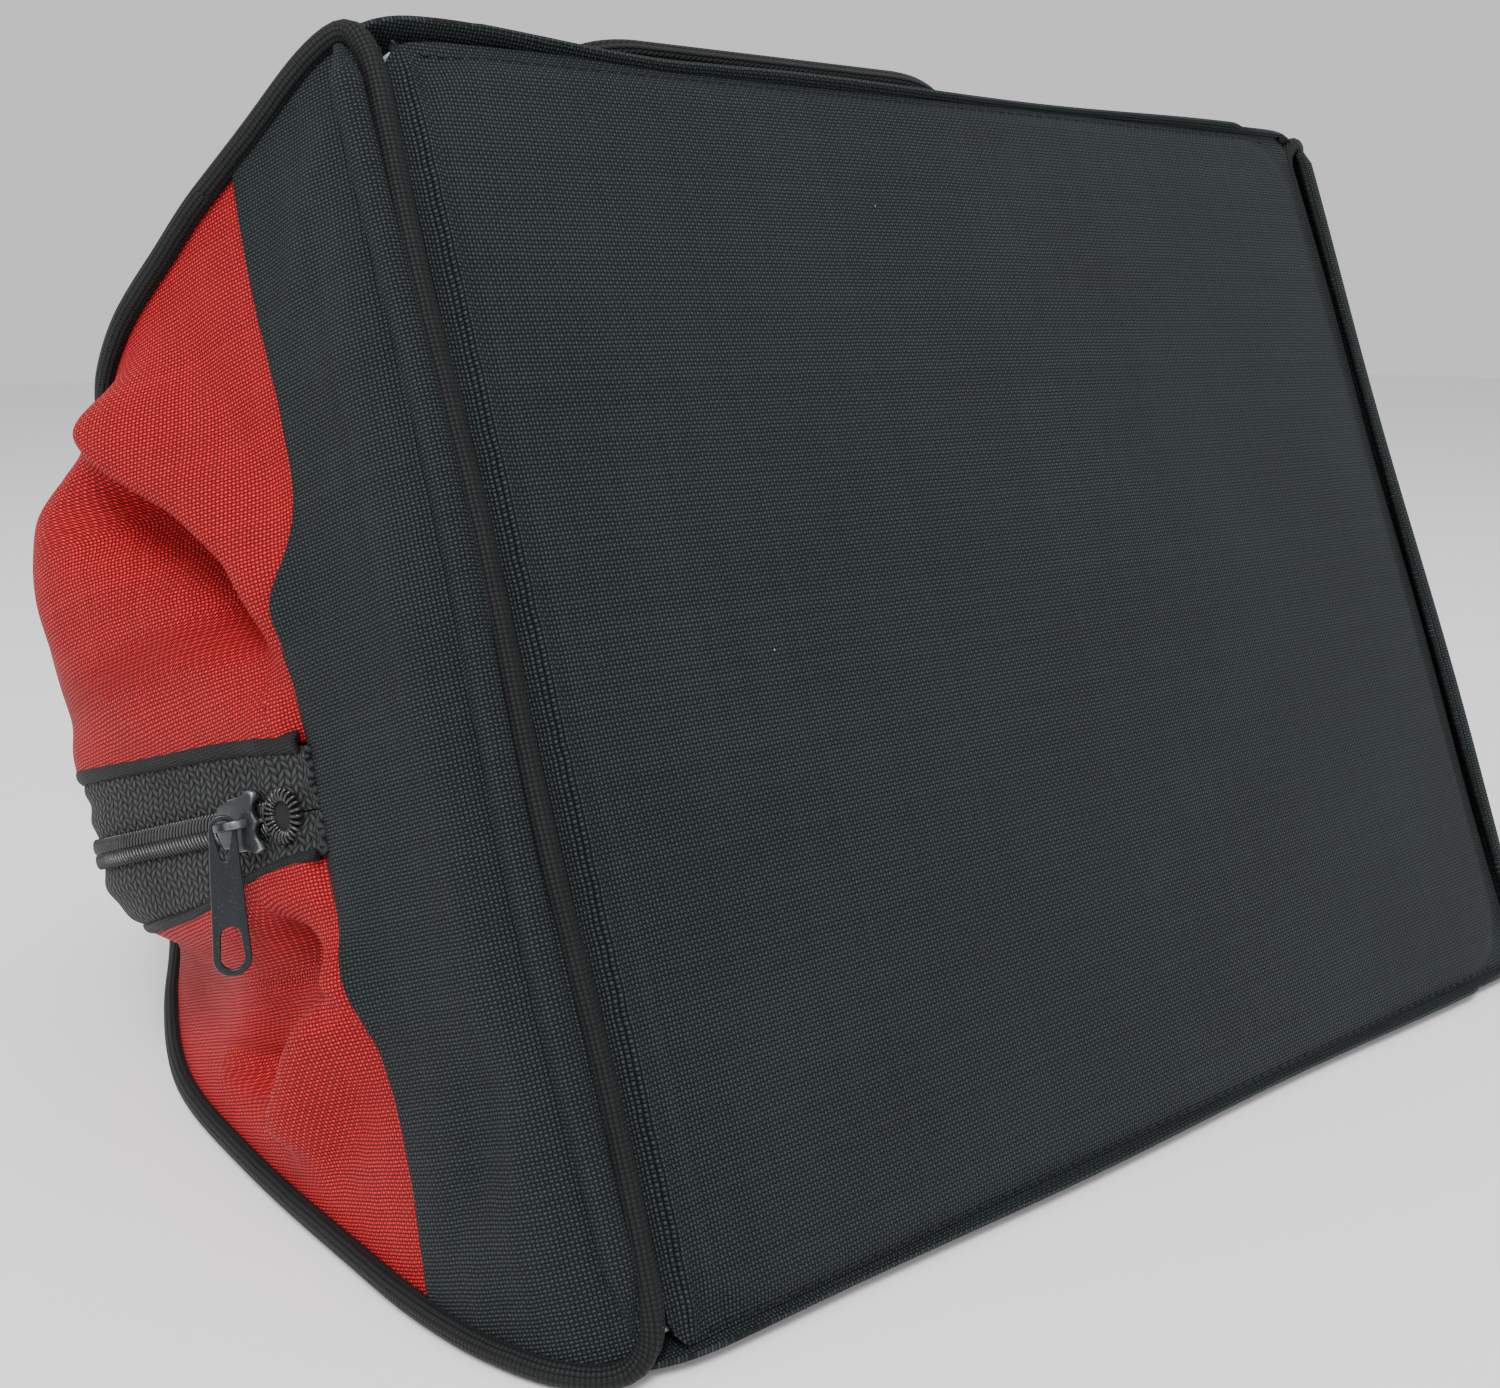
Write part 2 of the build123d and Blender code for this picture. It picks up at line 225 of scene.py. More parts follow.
def tape_reach(y, z):
    """How far a point on an end is outside the part of the tape that shows."""
    t = y - zip_y(z)
    return np.maximum(np.where(t < 0, -t - upper_tape_edge(z), t - lower_tape_edge(z)), 0)


def crease(y, z, path, high, before, after):
    """A ridge, or a hollow where high is negative, along a path, with its own width on each side."""
    best = np.full(np.shape(y), 1e9)
    signed = np.zeros(np.shape(y))
    share = np.zeros(np.shape(y))
    path = np.array(path, float)
    lengths = np.hypot(*np.diff(path, axis=0).T)
    total, run = lengths.sum(), 0.0
    for start, end, length in zip(path, path[1:], lengths):
        way = (end - start) / length
        t = np.clip((y - start[0]) * way[0] + (z - start[1]) * way[1], 0, length)
        dy, dz = y - start[0] - t * way[0], z - start[1] - t * way[1]
        distance = np.hypot(dy, dz)
        nearer = distance < best
        best = np.where(nearer, distance, best)
        signed = np.where(nearer, np.sign(dy * way[1] - dz * way[0]) * -distance, signed)
        share = np.where(nearer, (run + t) / total, share)
        run += length
    width = np.where(signed < 0, before, after)
    fade = ease(-0.05, 0.3, share) * (1 - ease(0.75, 1.1, share))
    return high * fade * np.exp(-((signed / width) ** 2))


BULGES = {
    # (height, middle across, middle up, width, height up) of soft swellings
    NEAR: ((15.0, -60, 98, 26, 32), (6.0, -34, 108, 20, 36), (-5.0, 44, 125, 16, 40)),
    FAR: ((5.0, 50, 100, 26, 34), (5.0, -50, 100, 26, 34)),
}


FOLDS = {
    NEAR: (
        # (path in y and z, height, width before the path, width after it)
        (((-94, 88), (-76, 70), (-61, 61), (-47, 50), (-34, 44), (-18, 40)), 9.0, 10, 7),
        (((-66, 84), (-56, 72), (-45, 60), (-34, 53), (-18, 51)), -15.0, 6, 9),
        (((-104, 58), (-71, 50), (-52, 41), (-25, 35)), -2.2, 7, 9),
        (((40, 36), (60, 57), (84, 80)), 8.0, 9, 6),
        (((36, 50), (50, 76), (68, 104)), -9.0, 8, 9),
        (((26, 70), (40, 58), (54, 42)), -5.0, 3, 6),
        (((58, 116), (66, 90), (80, 70)), -4.0, 4, 8),
        (((66, 44), (82, 60), (98, 66)), -2.5, 6, 6),
        (((-118, 6), (-100, 16), (-76, 22)), 1.6, 4, 5),
        (((60, 12), (86, 20), (104, 30)), -2.0, 6, 6),
    ),
    FAR: (
        (((92, 100), (66, 74), (44, 58), (8, 42)), 4.0, 14, 6),
        (((80, 104), (56, 80), (34, 62)), -6.5, 7, 12),
        (((-44, 44), (-62, 62), (-84, 84)), 4.5, 9, 7),
        (((-36, 56), (-52, 82), (-66, 110)), -6.0, 8, 9),
    ),
}


def ripple(side, y, z, scale, seed):
    """Slow unevenness of soft cloth, from -1 to 1."""
    flat = [noise.noise((a / scale, b / scale, seed + 7.3 * side)) for a, b in zip(np.ravel(y), np.ravel(z))]
    return np.array(flat).reshape(np.shape(y))


def bow(side, y, z):
    """How far an end stands out past the base's half length."""
    y, z = np.broadcast_arrays(np.asarray(y, float), np.asarray(z, float))
    s = np.clip(y / side_y(z), -1.05, 1.05)
    if side == NEAR:
        seam = np.where(s < 0, upper_seam(z), lower_seam(z))
        middle = np.where(y < zip_y(z), upper_bow(z), lower_bow(z))
    else:
        seam, middle = far_seam(z), upper_bow(z)
    free = (1 - s**2) * np.clip(z / 8, 0, 1) * (1 - ease(225, 248, z))
    out = middle * (1 - s**2) + seam * s**2
    depth = sizes().fold_depth
    loose = ease(0.0, 0.25, 1 - np.abs(s)) * ease(2, 14, z) * (1 - ease(200, 240, z))
    for high, across, up, wide, tall in BULGES[side]:
        out = out + depth * loose * high * np.exp(-(((y - across) / wide) ** 2) - ((z - up) / tall) ** 2)
    for path, high, before, after in FOLDS[side]:
        out = out + depth * loose * crease(y, z, path, high, before, after)
    out = out + depth * free * (1.6 * ripple(side, y, z, 34, 3) + 0.7 * ripple(side, y, z, 13, 5))
    aside = y - zip_y(z)
    held = np.exp(-((aside / np.where((aside > 0) & (side == NEAR), 20, 24)) ** 4)) * ease(44, 62, z)
    held = np.maximum(held, np.exp(-((aside / 20) ** 4)) * ease(38, 44, z) * 0.7)
    return out * (1 - held) + zip_run(z) * held


def end_points(side, y, z, proud=0.0):
    return np.stack([side * (HALF_LENGTH + bow(side, y, z) + proud), y + 0 * z, z + 0 * y], -1)


def grid_normals(points):
    """Unit normals of a grid of points."""
    down = np.gradient(points, axis=0)
    over = np.gradient(points, axis=1)
    normals = np.cross(down, over)
    return normals / np.maximum(np.linalg.norm(normals, axis=-1, keepdims=True), 1e-9)


MIDDLE = np.array([0, 0, 95.0])


def stand_off(points, proud):
    """A grid of points moved away from the bag's inside along its own normals."""
    normals = grid_normals(points)
    outward = np.sign((normals * (points - MIDDLE)).sum(-1).mean())
    return points + normals * outward * np.asarray(proud, float)[..., None]


def line_of(value):
    """A line that is given as a function, or as a number where it's straight."""
    return value if callable(value) else lambda u: value + 0 * u


def end_grid(side, left, right, foot, head, across, up, proud=0.0):
    """A grid on an end between lines at its sides, foot and head, and its cloth coordinates."""
    left, right, foot, head = (line_of(v) for v in (left, right, foot, head))
    a, b = np.meshgrid(np.linspace(0, 1, across), np.linspace(0, 1, up), indexing="ij")
    y = left(30.0) * (1 - a) + right(30.0) * a
    z = foot(y) * (1 - b) + head(y) * b
    y = left(z) * (1 - a) + right(z) * a
    points = end_points(side, y, z)
    proud = proud(y, z) if callable(proud) else proud
    steps = np.linalg.norm(np.diff(points, axis=1), axis=-1)
    rise = np.concatenate([np.zeros((across, 1)), np.cumsum(steps, axis=1)], axis=1)
    if np.any(proud):
        points = stand_off(points, proud + 0 * a)
    return points, np.stack([y, rise + z[:, :1]], -1)


def new_mesh(name, verts, faces, edges=()):
    mesh = bpy.data.meshes.new(name)
    mesh.from_pydata([tuple(v) for v in verts], edges, faces)
    mesh.update()
    return mesh


def linked(name, data):
    """A new object in the scene."""
    piece = bpy.data.objects.new(name, data)
    bpy.context.scene.collection.objects.link(piece)
    return piece


def finish_mesh(name, mesh, slot, body, replaces=None, blend=False, look=None):
    """Puts a mesh in the scene as a piece that rides on its body, in place of the node of its name."""
    if replaces is None:
        replaces = [name] if name in frame["nodes"] else []
    name = f"{name}_soft" if name in frame["nodes"] else name
    mesh.materials.clear()
    mesh.materials.append(cloth_of(look or slot))
    for polygon in mesh.polygons:
        polygon.use_smooth = True
        polygon.material_index = 0
    piece = linked(name, mesh)
    if blend:
        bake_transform(piece)
    else:
        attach(piece, body)
    if replaces:
        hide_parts(*replaces)
    return piece


def baked(piece):
    """The piece's mesh with its modifiers applied, as a mesh of its own."""
    evaluated = piece.evaluated_get(bpy.context.evaluated_depsgraph_get())
    mesh = bpy.data.meshes.new_from_object(evaluated)
    mesh.name = piece.name
    old = piece.data
    bpy.data.objects.remove(piece)
    if old.users == 0:
        bpy.data.meshes.remove(old)
    return mesh


def grid_mesh(name, points, cloth, thickness):
    """A sheet through a grid of points with its cloth coordinates in metres, and a thickness inward."""
    rows, columns = points.shape[:2]
    verts = place(points).reshape(-1, 3)
    index = np.arange(rows * columns).reshape(rows, columns)
    quads = np.stack([index[:-1, :-1], index[1:, :-1], index[1:, 1:], index[:-1, 1:]], -1).reshape(-1, 4)
    normals = grid_normals(points)
    if (normals * (points - MIDDLE)).sum(-1).mean() < 0:
        quads = quads[:, ::-1]
    mesh = new_mesh(name, verts, quads.tolist())
    layer = mesh.uv_layers.new(name="cloth")
    flat = (cloth.reshape(-1, 2) / 1000)[[loop.vertex_index for loop in mesh.loops]]
    layer.data.foreach_set("uv", flat.astype(np.float32).ravel())
    if not thickness:
        return mesh
    piece = linked(name, mesh)
    wall = piece.modifiers.new("wall", "SOLIDIFY")
    wall.thickness, wall.offset = thickness, -1.0
    return baked(piece)


def sheet_area(points):
    steps_a = points[1:, :-1] - points[:-1, :-1]
    steps_b = points[:-1, 1:] - points[:-1, :-1]
    return float(np.linalg.norm(np.cross(steps_a, steps_b), axis=-1).sum()) / 1e6


def sewn_cloth(name, grid, slot, body, replaces=None, blend=False, thickness=None):
    """A cut piece of cloth, declared with the rectangle that it is cut from."""
    points, cloth = grid
    thickness = sizes().cloth if thickness is None else thickness
    piece = finish_mesh(name, grid_mesh(name, points, cloth, thickness), slot, body, replaces, blend)
    width, length = (cloth.reshape(-1, 2).max(0) - cloth.reshape(-1, 2).min(0)) / 1000
    area = max(min(sheet_area(points), width * length), 0.31 * width * length)


def run_of(points):
    """The length of a line up to each of its points."""
    return np.concatenate([[0], np.cumsum(np.linalg.norm(np.diff(points, axis=0), axis=1))])


def sweep(points, wide, thick, outline):
    """Sweeps a closed outline of (wide, thick) pairs along points, and closes both ends."""
    points, wide, thick = (np.asarray(x, float) for x in (points, wide, thick))
    outline = np.asarray(outline, float)
    if outline.ndim == 2:
        outline = np.repeat(outline[None], len(points), 0)
    rings = points[:, None] + outline[..., :1] * wide[:, None] + outline[..., 1:] * thick[:, None]
    count = rings.shape[1]
    verts = place(rings).reshape(-1, 3)
    faces, uvs = [], []
    run = run_of(points) / 1000
    round_run = run_of(np.concatenate([outline, outline[:, :1]], 1).mean(0)) / 1000
    for i in range(len(points) - 1):
        for j in range(count):
            k = (j + 1) % count
            faces.append((i * count + j, i * count + k, (i + 1) * count + k, (i + 1) * count + j))
            uvs += [(run[u], round_run[v]) for u, v in ((i, j), (i, j + 1), (i + 1, j + 1), (i + 1, j))]
    last = (len(points) - 1) * count
    for cap, at in ((tuple(range(count))[::-1], 0), (tuple(last + j for j in range(count)), -1)):
        faces.append(cap)
        uvs += [(run[at] + 0.0005 * k, 0.0) for k in range(count)]
    return verts, faces, uvs


def turn_outward(mesh, merge=None):
    """Turns a mesh's faces outward, with its points merged first where a distance is given."""
    work = bmesh.new()
    work.from_mesh(mesh)
    if merge:
        bmesh.ops.remove_doubles(work, verts=work.verts, dist=merge)
    bmesh.ops.recalc_face_normals(work, faces=work.faces)
    work.to_mesh(mesh)
    work.free()
    return mesh


def swept_piece(name, sweeps, slot, body, replaces=None, blend=False):
    """A piece of several sweeps."""
    verts, faces, uvs = [], [], []
    for v, f, u in sweeps:
        base = len(verts)
        verts += [tuple(x) for x in v]
        faces += [tuple(base + i for i in face) for face in f]
        uvs += u
    mesh = new_mesh(name, verts, faces)
    layer = mesh.uv_layers.new(name="cloth")
    layer.data.foreach_set("uv", np.array(uvs, np.float32).ravel())
    finish_mesh(name, turn_outward(mesh), slot, body, replaces, blend)


def round_outline(wide, thick, corner=None, count=12):
    """A rounded bar's outline; a circle where both sizes are equal and the corner is half of them."""
    if corner is None:
        angles = np.linspace(0, math.tau, count, endpoint=False)
        return [(wide / 2 * math.cos(a), thick / 2 * math.sin(a)) for a in angles]
    points = []
    for quarter, (sx, sy) in enumerate(((1, 1), (-1, 1), (-1, -1), (1, -1))):
        cx, cy = sx * (wide / 2 - corner), sy * (thick / 2 - corner)
        for a in np.linspace(0, math.pi / 2, 4) + quarter * math.pi / 2:
            points.append((cx + corner * math.cos(a), cy + corner * math.sin(a)))
    return points


def tangents(points):
    way = np.gradient(points, axis=0)
    return way / np.linalg.norm(way, axis=1, keepdims=True)


def square_to(way, hint):
    """A unit direction square to each way, as near as it can be to the hint."""
    hint = hint - (hint * way).sum(-1, keepdims=True) * way
    return hint / np.linalg.norm(hint, axis=-1, keepdims=True)


# ---------------------------------------------------------------- materials


class Wire:
    """An output of a node, with the arithmetic that shader maths needs."""

    def __init__(self, net, node, name=0):
        self.net, self.owner, self.socket = net, node, node.outputs[name]

    def out(self, name):
        return Wire(self.net, self.owner, name)

    def math(self, operation, *values):
        return self.net.node("Math", {"operation": operation}, dict(enumerate((self, *values))))

    def __rsub__(self, other):
        return self.math("MULTIPLY_ADD", -1.0, other)


for method, operation in {
    "add": "ADD", "radd": "ADD", "sub": "SUBTRACT", "mul": "MULTIPLY", "rmul": "MULTIPLY",
    "truediv": "DIVIDE", "pow": "POWER", "gt": "GREATER_THAN",
}.items():
    setattr(Wire, f"__{method}__", lambda self, other, operation=operation: self.math(operation, other))


def times(colour, factors):
    """A colour made lighter or darker, by one factor or by one for each channel."""
    factors = factors if isinstance(factors, tuple) else (factors,) * 3
    return tuple(c * f for c, f in zip(colour, factors))


class Net:
    """A material's node tree."""

    def __init__(self, name):
        self.material = bpy.data.materials.new(name)
        self.material.use_nodes = True
        self.tree = self.material.node_tree
        self.tree.nodes.clear()

    def node(self, kind, settings=None, values=None):
        node = self.tree.nodes.new(f"ShaderNode{kind}")
        for key, value in (settings or {}).items():
            setattr(node, key, value)
        for key, value in (values or {}).items():
            if isinstance(value, Wire):
                self.tree.links.new(value.socket, node.inputs[key])
            else:
                node.inputs[key].default_value = value
        return Wire(self, node) if node.outputs else None

    def mix(self, share, first, second):
        """A colour between two."""
        first, second = (v if isinstance(v, Wire) else (*v, 1.0) for v in (first, second))
        return self.node("Mix", {"data_type": "RGBA"}, {0: share, 6: first, 7: second}).out(2)

    def between(self, value, low, high, to_low=0.0, to_high=1.0):
        return self.node(
            "MapRange", {"interpolation_type": "SMOOTHSTEP"},
            {"Value": value, "From Min": low, "From Max": high, "To Min": to_low, "To Max": to_high},
        )

    def noise(self, scale, vector, detail=2.0):
        return self.node("TexNoise", {}, {"Vector": vector, "Scale": scale, "Detail": detail})

    def surface(self, colour, roughness, height, strength, distance, **constants):
        """Ends the tree in one shader with a bump. A shader input's spaces are given as underlines."""
        bump = self.node("Bump", {}, {"Height": height, "Strength": strength, "Distance": distance})
        values = {"Base Color": colour, "Roughness": roughness, "Normal": bump}
        values.update({key.replace("_", " "): value for key, value in constants.items()})
        shader = self.node("BsdfPrincipled", {}, values)
        self.node("OutputMaterial", {}, {"Surface": shader})
        return self.material


def cloth_axes(net):
    """The piece's cloth coordinates in metres, a little uneven as woven threads are."""
    uv = net.node("UVMap", {"uv_map": "cloth"})
    wander = net.node("TexNoise", {}, {"Vector": uv, "Scale": 160.0, "Detail": 1.0})
    shift = net.node("VectorMath", {"operation": "SCALE"}, {0: wander.out("Color"), "Scale": 0.00045})
    moved = net.node("VectorMath", {"operation": "ADD"}, {0: uv, 1: shift})
    parts = net.node("SeparateXYZ", {}, {0: moved})
    return uv, parts.out("X"), parts.out("Y")


def weave(net, x, y, pitch_x, pitch_y):
    """A plain weave's height."""
    wave_x = (x * (math.pi / pitch_x)).math("SINE")
    wave_y = (y * (math.pi / pitch_y)).math("SINE")
    over = net.between(wave_x * wave_y, -0.06, 0.06)
    bold_x, bold_y = wave_x.math("ABSOLUTE"), wave_y.math("ABSOLUTE")
    long_up = bold_x**0.8 * bold_y**0.4
    long_down = bold_x**0.4 * bold_y**0.8
    return over * long_up + (1 - over) * long_down * 0.68


def per_thread(net, axis, pitch, seed):
    """A number from 0 to 1 for each thread."""
    return net.node("TexWhiteNoise", {"noise_dimensions": "1D"}, {"W": (axis / pitch).math("FLOOR") + seed})


def coated_cloth(name, colour, lit, shade, sheen, lint):
    """Plain-weave polyester with uneven threads, worn lighter on its high threads, with a little lint."""
    net = Net(name)
    uv, x, y = cloth_axes(net)
    pitch = sizes().thread
    height = weave(net, x, y, pitch, pitch * 1.15)
    threads = per_thread(net, x, pitch, 0.5) * 0.5 + per_thread(net, y, pitch * 1.15, 7.5) * 0.5
    fibre = net.noise(2600.0, uv, 1.0)
    slow = net.noise(22.0, uv, 3.0)
    relief = height + fibre * 0.16 + threads * 0.14
    # Painted light: from the weave's height, high threads get a painted highlight and the hollows between them
    # painted shade; the per-thread and slow noise parts are the cloth's own uneven tone.
    tone = height * 1.05 + threads * 0.12 + slow * 0.22 + fibre * 0.14 - 0.42
    # Mixes a painted shade copy and a painted lit copy of the colour by that tone.
    base = net.mix(net.between(tone, 0.08, 0.86), times(colour, shade), times(colour, lit))
    if lint:
        cells = net.node("TexVoronoi", {"feature": "F1"}, {"Vector": uv, "Scale": 70.0})
        chosen = net.node("SeparateXYZ", {}, {0: cells.out("Color")}).out("X") > 0.72
        bent = net.noise(900.0, uv, 1.0) * 0.03
        speck = (1 - net.between(cells.out("Distance") + bent, 0.022, 0.036)) * chosen
        base = net.mix(speck * lint, base, (0.42, 0.44, 0.45))
    rough = 0.72 - height * 0.2
    return net.surface(
        base, rough, relief, 1.0, 0.0004,
        Sheen_Weight=sheen, Sheen_Roughness=0.45, Specular_IOR_Level=0.2,
    )


def braid_cloth(name, colour, pitch, slant, depth, lit):
    """Heavy braid or webbing: ropes of thread that lie in slanted rows."""
    net = Net(name)
    uv, x, y = cloth_axes(net)
    rows = (y * (math.pi / pitch)).math("SINE").math("ABSOLUTE")
    side = (y / pitch).math("FLOOR").math("PINGPONG", 1.0) * 2 - 1
    ropes = ((x + side * y * slant) * (math.pi / (pitch * 0.8))).math("SINE").math("ABSOLUTE")
    fibre = net.noise(2200.0, uv, 2.0)
    height = rows**0.5 * 0.55 + ropes**0.6 * 0.45 + fibre * 0.14
    # Painted light: the tone follows the ropes' height, so their crowns get a painted highlight and the gaps
    # painted shade; the slow noise is the braid's own uneven tone.
    tone = height + net.noise(60.0, uv, 2.0) * 0.3 - 0.25
    # A painted shade copy (0.05 of the colour) and a painted lit copy, mixed by that tone.
    base = net.mix(net.between(tone, 0.45, 1.15), times(colour, 0.05), times(colour, lit))
    return net.surface(
        base, 0.78 - height * 0.16, height, 1.0, depth,
        Sheen_Weight=0.02, Sheen_Roughness=0.5, Specular_IOR_Level=0.2,
    )


def worn_metal(name):
    """Dark lacquered zinc, rubbed bright along its edges, with fine scratches."""
    net = Net(name)
    where = net.node("TexCoord").out("Object")
    edge = net.node("NewGeometry").out("Pointiness")
    grain = net.noise(900.0, where, 4.0)
    stretched = net.node("Mapping", {}, {"Vector": where, "Scale": (1.0, 0.12, 1.0)})
    scratch = net.between(net.noise(2600.0, stretched, 2.0), 0.62, 0.7)
    rubbed = net.between(edge + grain * 0.04, 0.545, 0.64)
    base = net.mix(rubbed * 0.8, (0.022, 0.025, 0.028), (0.34, 0.35, 0.36))
    base = net.mix(scratch * 0.12, base, (0.3, 0.31, 0.32))
    return net.surface(base, 0.3 + grain * 0.16, grain + scratch * 0.3, 0.25, 0.0001, Metallic=0.7)


def moulded(name, colour, roughness, grain_scale=700.0):
    """Nylon or stiff sheet with a fine grain."""
    net = Net(name)
    where = net.node("TexCoord").out("Object")
    grain = net.noise(grain_scale, where, 3.0)
    slow = net.noise(40.0, where, 2.0)
    tone = net.between(grain * 0.5 + slow * 0.5, 0.35, 0.65)
    base = net.mix(tone, times(colour, 0.7), times(colour, 1.35))
    return net.surface(base, roughness + slow * 0.15, grain, 0.3, 0.0001)


def glass_cloth(name, colour):
    """Silicone-coated glass cloth: a close satin weave under a smooth coat."""
    net = Net(name)
    uv, x, y = cloth_axes(net)
    height = weave(net, x, y, 0.0014, 0.0014)
    slow = net.noise(18.0, uv, 3.0)
    tone = net.between(height * 0.4 + slow * 0.6, 0.2, 0.8)
    base = net.mix(tone, times(colour, 0.75), times(colour, 1.2))
    return net.surface(base, 0.42 + slow * 0.15, height, 0.35, 0.0002)


MATERIALS = {}


def cloth_of(name):
    """A material, made once."""
    tint = colours()
    # Each cloth's lit and shade factors make a painted lit copy and a painted shade copy of its colour, for
    # painted highlights on high threads and painted shade between them.
    black_lit, black_shade = (4.6, 4.1, 4.0), 0.05
    red_lit, red_shade = (1.5, 1.6, 1.4), (0.22, 0.16, 0.22)
    makers = {
        "black_cloth": (coated_cloth, tint.black, black_lit, black_shade, 0.010, 0.75),
        "red_cloth": (coated_cloth, tint.red, red_lit, red_shade, 0.004, 0.0),
        "piping": (braid_cloth, tint.trim, 0.0011, 0.0, 0.00035, 1.9),
        "binding": (braid_cloth, tint.trim, 0.0009, 0.0, 0.0003, 1.5),
        "zip_tape": (braid_cloth, tint.braid, 0.0021, 0.75, 0.0016, 6.5),
        "webbing": (braid_cloth, tint.trim, 0.0019, 0.7, 0.0008, 2.4),
        "thread": (braid_cloth, tint.trim, 0.0004, 0.6, 0.0001, 2.6),
        "coil": (moulded, (0.017, 0.017, 0.018), 0.2),
        "board": (moulded, (0.06, 0.06, 0.065), 0.6, 300.0),
        # A near-black stand-in for the shade inside the zipper's eye: painted shade.
        "well": (moulded, (0.0012, 0.0013, 0.0014), 0.85),
        "fire_lining": (glass_cloth, tint.lining),
        "gunmetal": (worn_metal,),
    }
    if name not in MATERIALS:
        maker, *values = makers[name]
        MATERIALS[name] = maker(name, *values)
    return MATERIALS[name]


# ---------------------------------------------------------------- repeated pieces


class Tree:
    """A Geometry Nodes tree with named inputs."""

    def __init__(self, name, inputs):
        self.tree = bpy.data.node_groups.new(name, "GeometryNodeTree")
        self.tree.interface.new_socket("Path", in_out="INPUT", socket_type="NodeSocketGeometry")
        for label, (kind, default) in inputs.items():
            socket = self.tree.interface.new_socket(label, in_out="INPUT", socket_type=kind)
            if default is not None:
                socket.default_value = default
        self.tree.interface.new_socket("Row", in_out="OUTPUT", socket_type="NodeSocketGeometry")
        self.inputs = self.tree.nodes.new("NodeGroupInput")

    def given(self, label):
        return self.inputs.outputs[label]

    def node(self, kind, settings=None, values=None, out=0):
        node = self.tree.nodes.new(kind)
        for key, value in (settings or {}).items():
            setattr(node, key, value)
        for key, value in (values or {}).items():
            if isinstance(value, bpy.types.NodeSocket):
                self.tree.links.new(value, node.inputs[key])
            else:
                node.inputs[key].default_value = value
        return node.outputs[out]

    def row(self, shape, spread):
        """One copy of the shape at each step of the path, turned to its outward direction."""
        line = self.node("GeometryNodeMeshToCurve", {}, {"Mesh": self.given("Path")})
        steps = self.node(
            "GeometryNodeResampleCurve", {"mode": "LENGTH"}, {"Curve": line, "Length": self.given("Spacing")}
        )
        kept = {"data_type": "FLOAT_VECTOR"}
        outward = self.node("GeometryNodeInputNamedAttribute", kept, {"Name": "outward"})
        along = self.node("GeometryNodeInputTangent")
        axes = {"primary_axis": "Z", "secondary_axis": "X"}
        turn = self.node("FunctionNodeAxesToRotation", axes, {0: outward, 1: along})
        most = self.given("Unevenness")
        least = self.node("ShaderNodeMath", {"operation": "MULTIPLY"}, {0: most, 1: -1.0})
        jitter = self.node(
            "FunctionNodeRandomValue", {"data_type": "FLOAT"},
            {"Min": least, "Max": most, "Seed": self.given("Seed")}, out=1,
        )
        angle = self.node("ShaderNodeMath", {}, {0: jitter, 1: self.given("Slant")})
        spin = self.node("ShaderNodeCombineXYZ", {}, {"Z": angle})
        euler = self.node("FunctionNodeEulerToRotation", {}, {0: spin})
        turn = self.node("FunctionNodeRotateRotation", {"rotation_space": "LOCAL"}, {0: turn, 1: euler})
        values = {"Points": steps, "Instance": shape, "Rotation": turn, "Scale": spread}
        copies = self.node("GeometryNodeInstanceOnPoints", {}, values)
        solid = self.node("GeometryNodeRealizeInstances", {}, {0: copies})
        values = {"Geometry": solid, "Material": self.given("Material")}
        coated = self.node("GeometryNodeSetMaterial", {}, values)
        end = self.tree.nodes.new("NodeGroupOutput")
        self.tree.links.new(coated, end.inputs[0])
        return self.tree


ROW_INPUTS = {
    "Spacing": ("NodeSocketFloat", 0.003),
    "Length": ("NodeSocketFloat", 0.002),
    "Width": ("NodeSocketFloat", 0.0007),
    "Height": ("NodeSocketFloat", 0.0005),
    "Slant": ("NodeSocketFloat", 0.0),
    "Unevenness": ("NodeSocketFloat", 0.0),
    "Seed": ("NodeSocketInt", 4),
    "Material": ("NodeSocketMaterial", None),
}


def stitch_tree():
    """Lockstitches: a plump bead of thread at each step."""
    tree = Tree("stitch_row", ROW_INPUTS)
    bead = tree.node("GeometryNodeMeshUVSphere", {}, {"Segments": 6, "Rings": 4, "Radius": 0.5})
    size = {"X": tree.given("Length"), "Y": tree.given("Width"), "Z": tree.given("Height")}
    return tree.row(bead, tree.node("ShaderNodeCombineXYZ", {}, size))


def turn_tree():
    """Turns of a zipper's coil: a slanted wire ring at each step."""
    tree = Tree("coil_turns", ROW_INPUTS)
    ring = tree.node("GeometryNodeCurvePrimitiveCircle", {}, {"Resolution": 10, "Radius": 0.5})
    ring = tree.node("GeometryNodeTransform", {}, {"Geometry": ring, "Rotation": (0.0, math.pi / 2, 0.0)})
    size = {"X": 1.0, "Y": tree.given("Width"), "Z": tree.given("Height")}
    size = tree.node("ShaderNodeCombineXYZ", {}, size)
    ring = tree.node("GeometryNodeTransform", {}, {"Geometry": ring, "Scale": size})
    wire = tree.node("GeometryNodeCurvePrimitiveCircle", {}, {"Resolution": 4, "Radius": tree.given("Length")})
    loop = tree.node("GeometryNodeCurveToMesh", {}, {"Curve": ring, "Profile Curve": wire})
    return tree.row(loop, (1.0, 1.0, 1.0))


TREES = {}


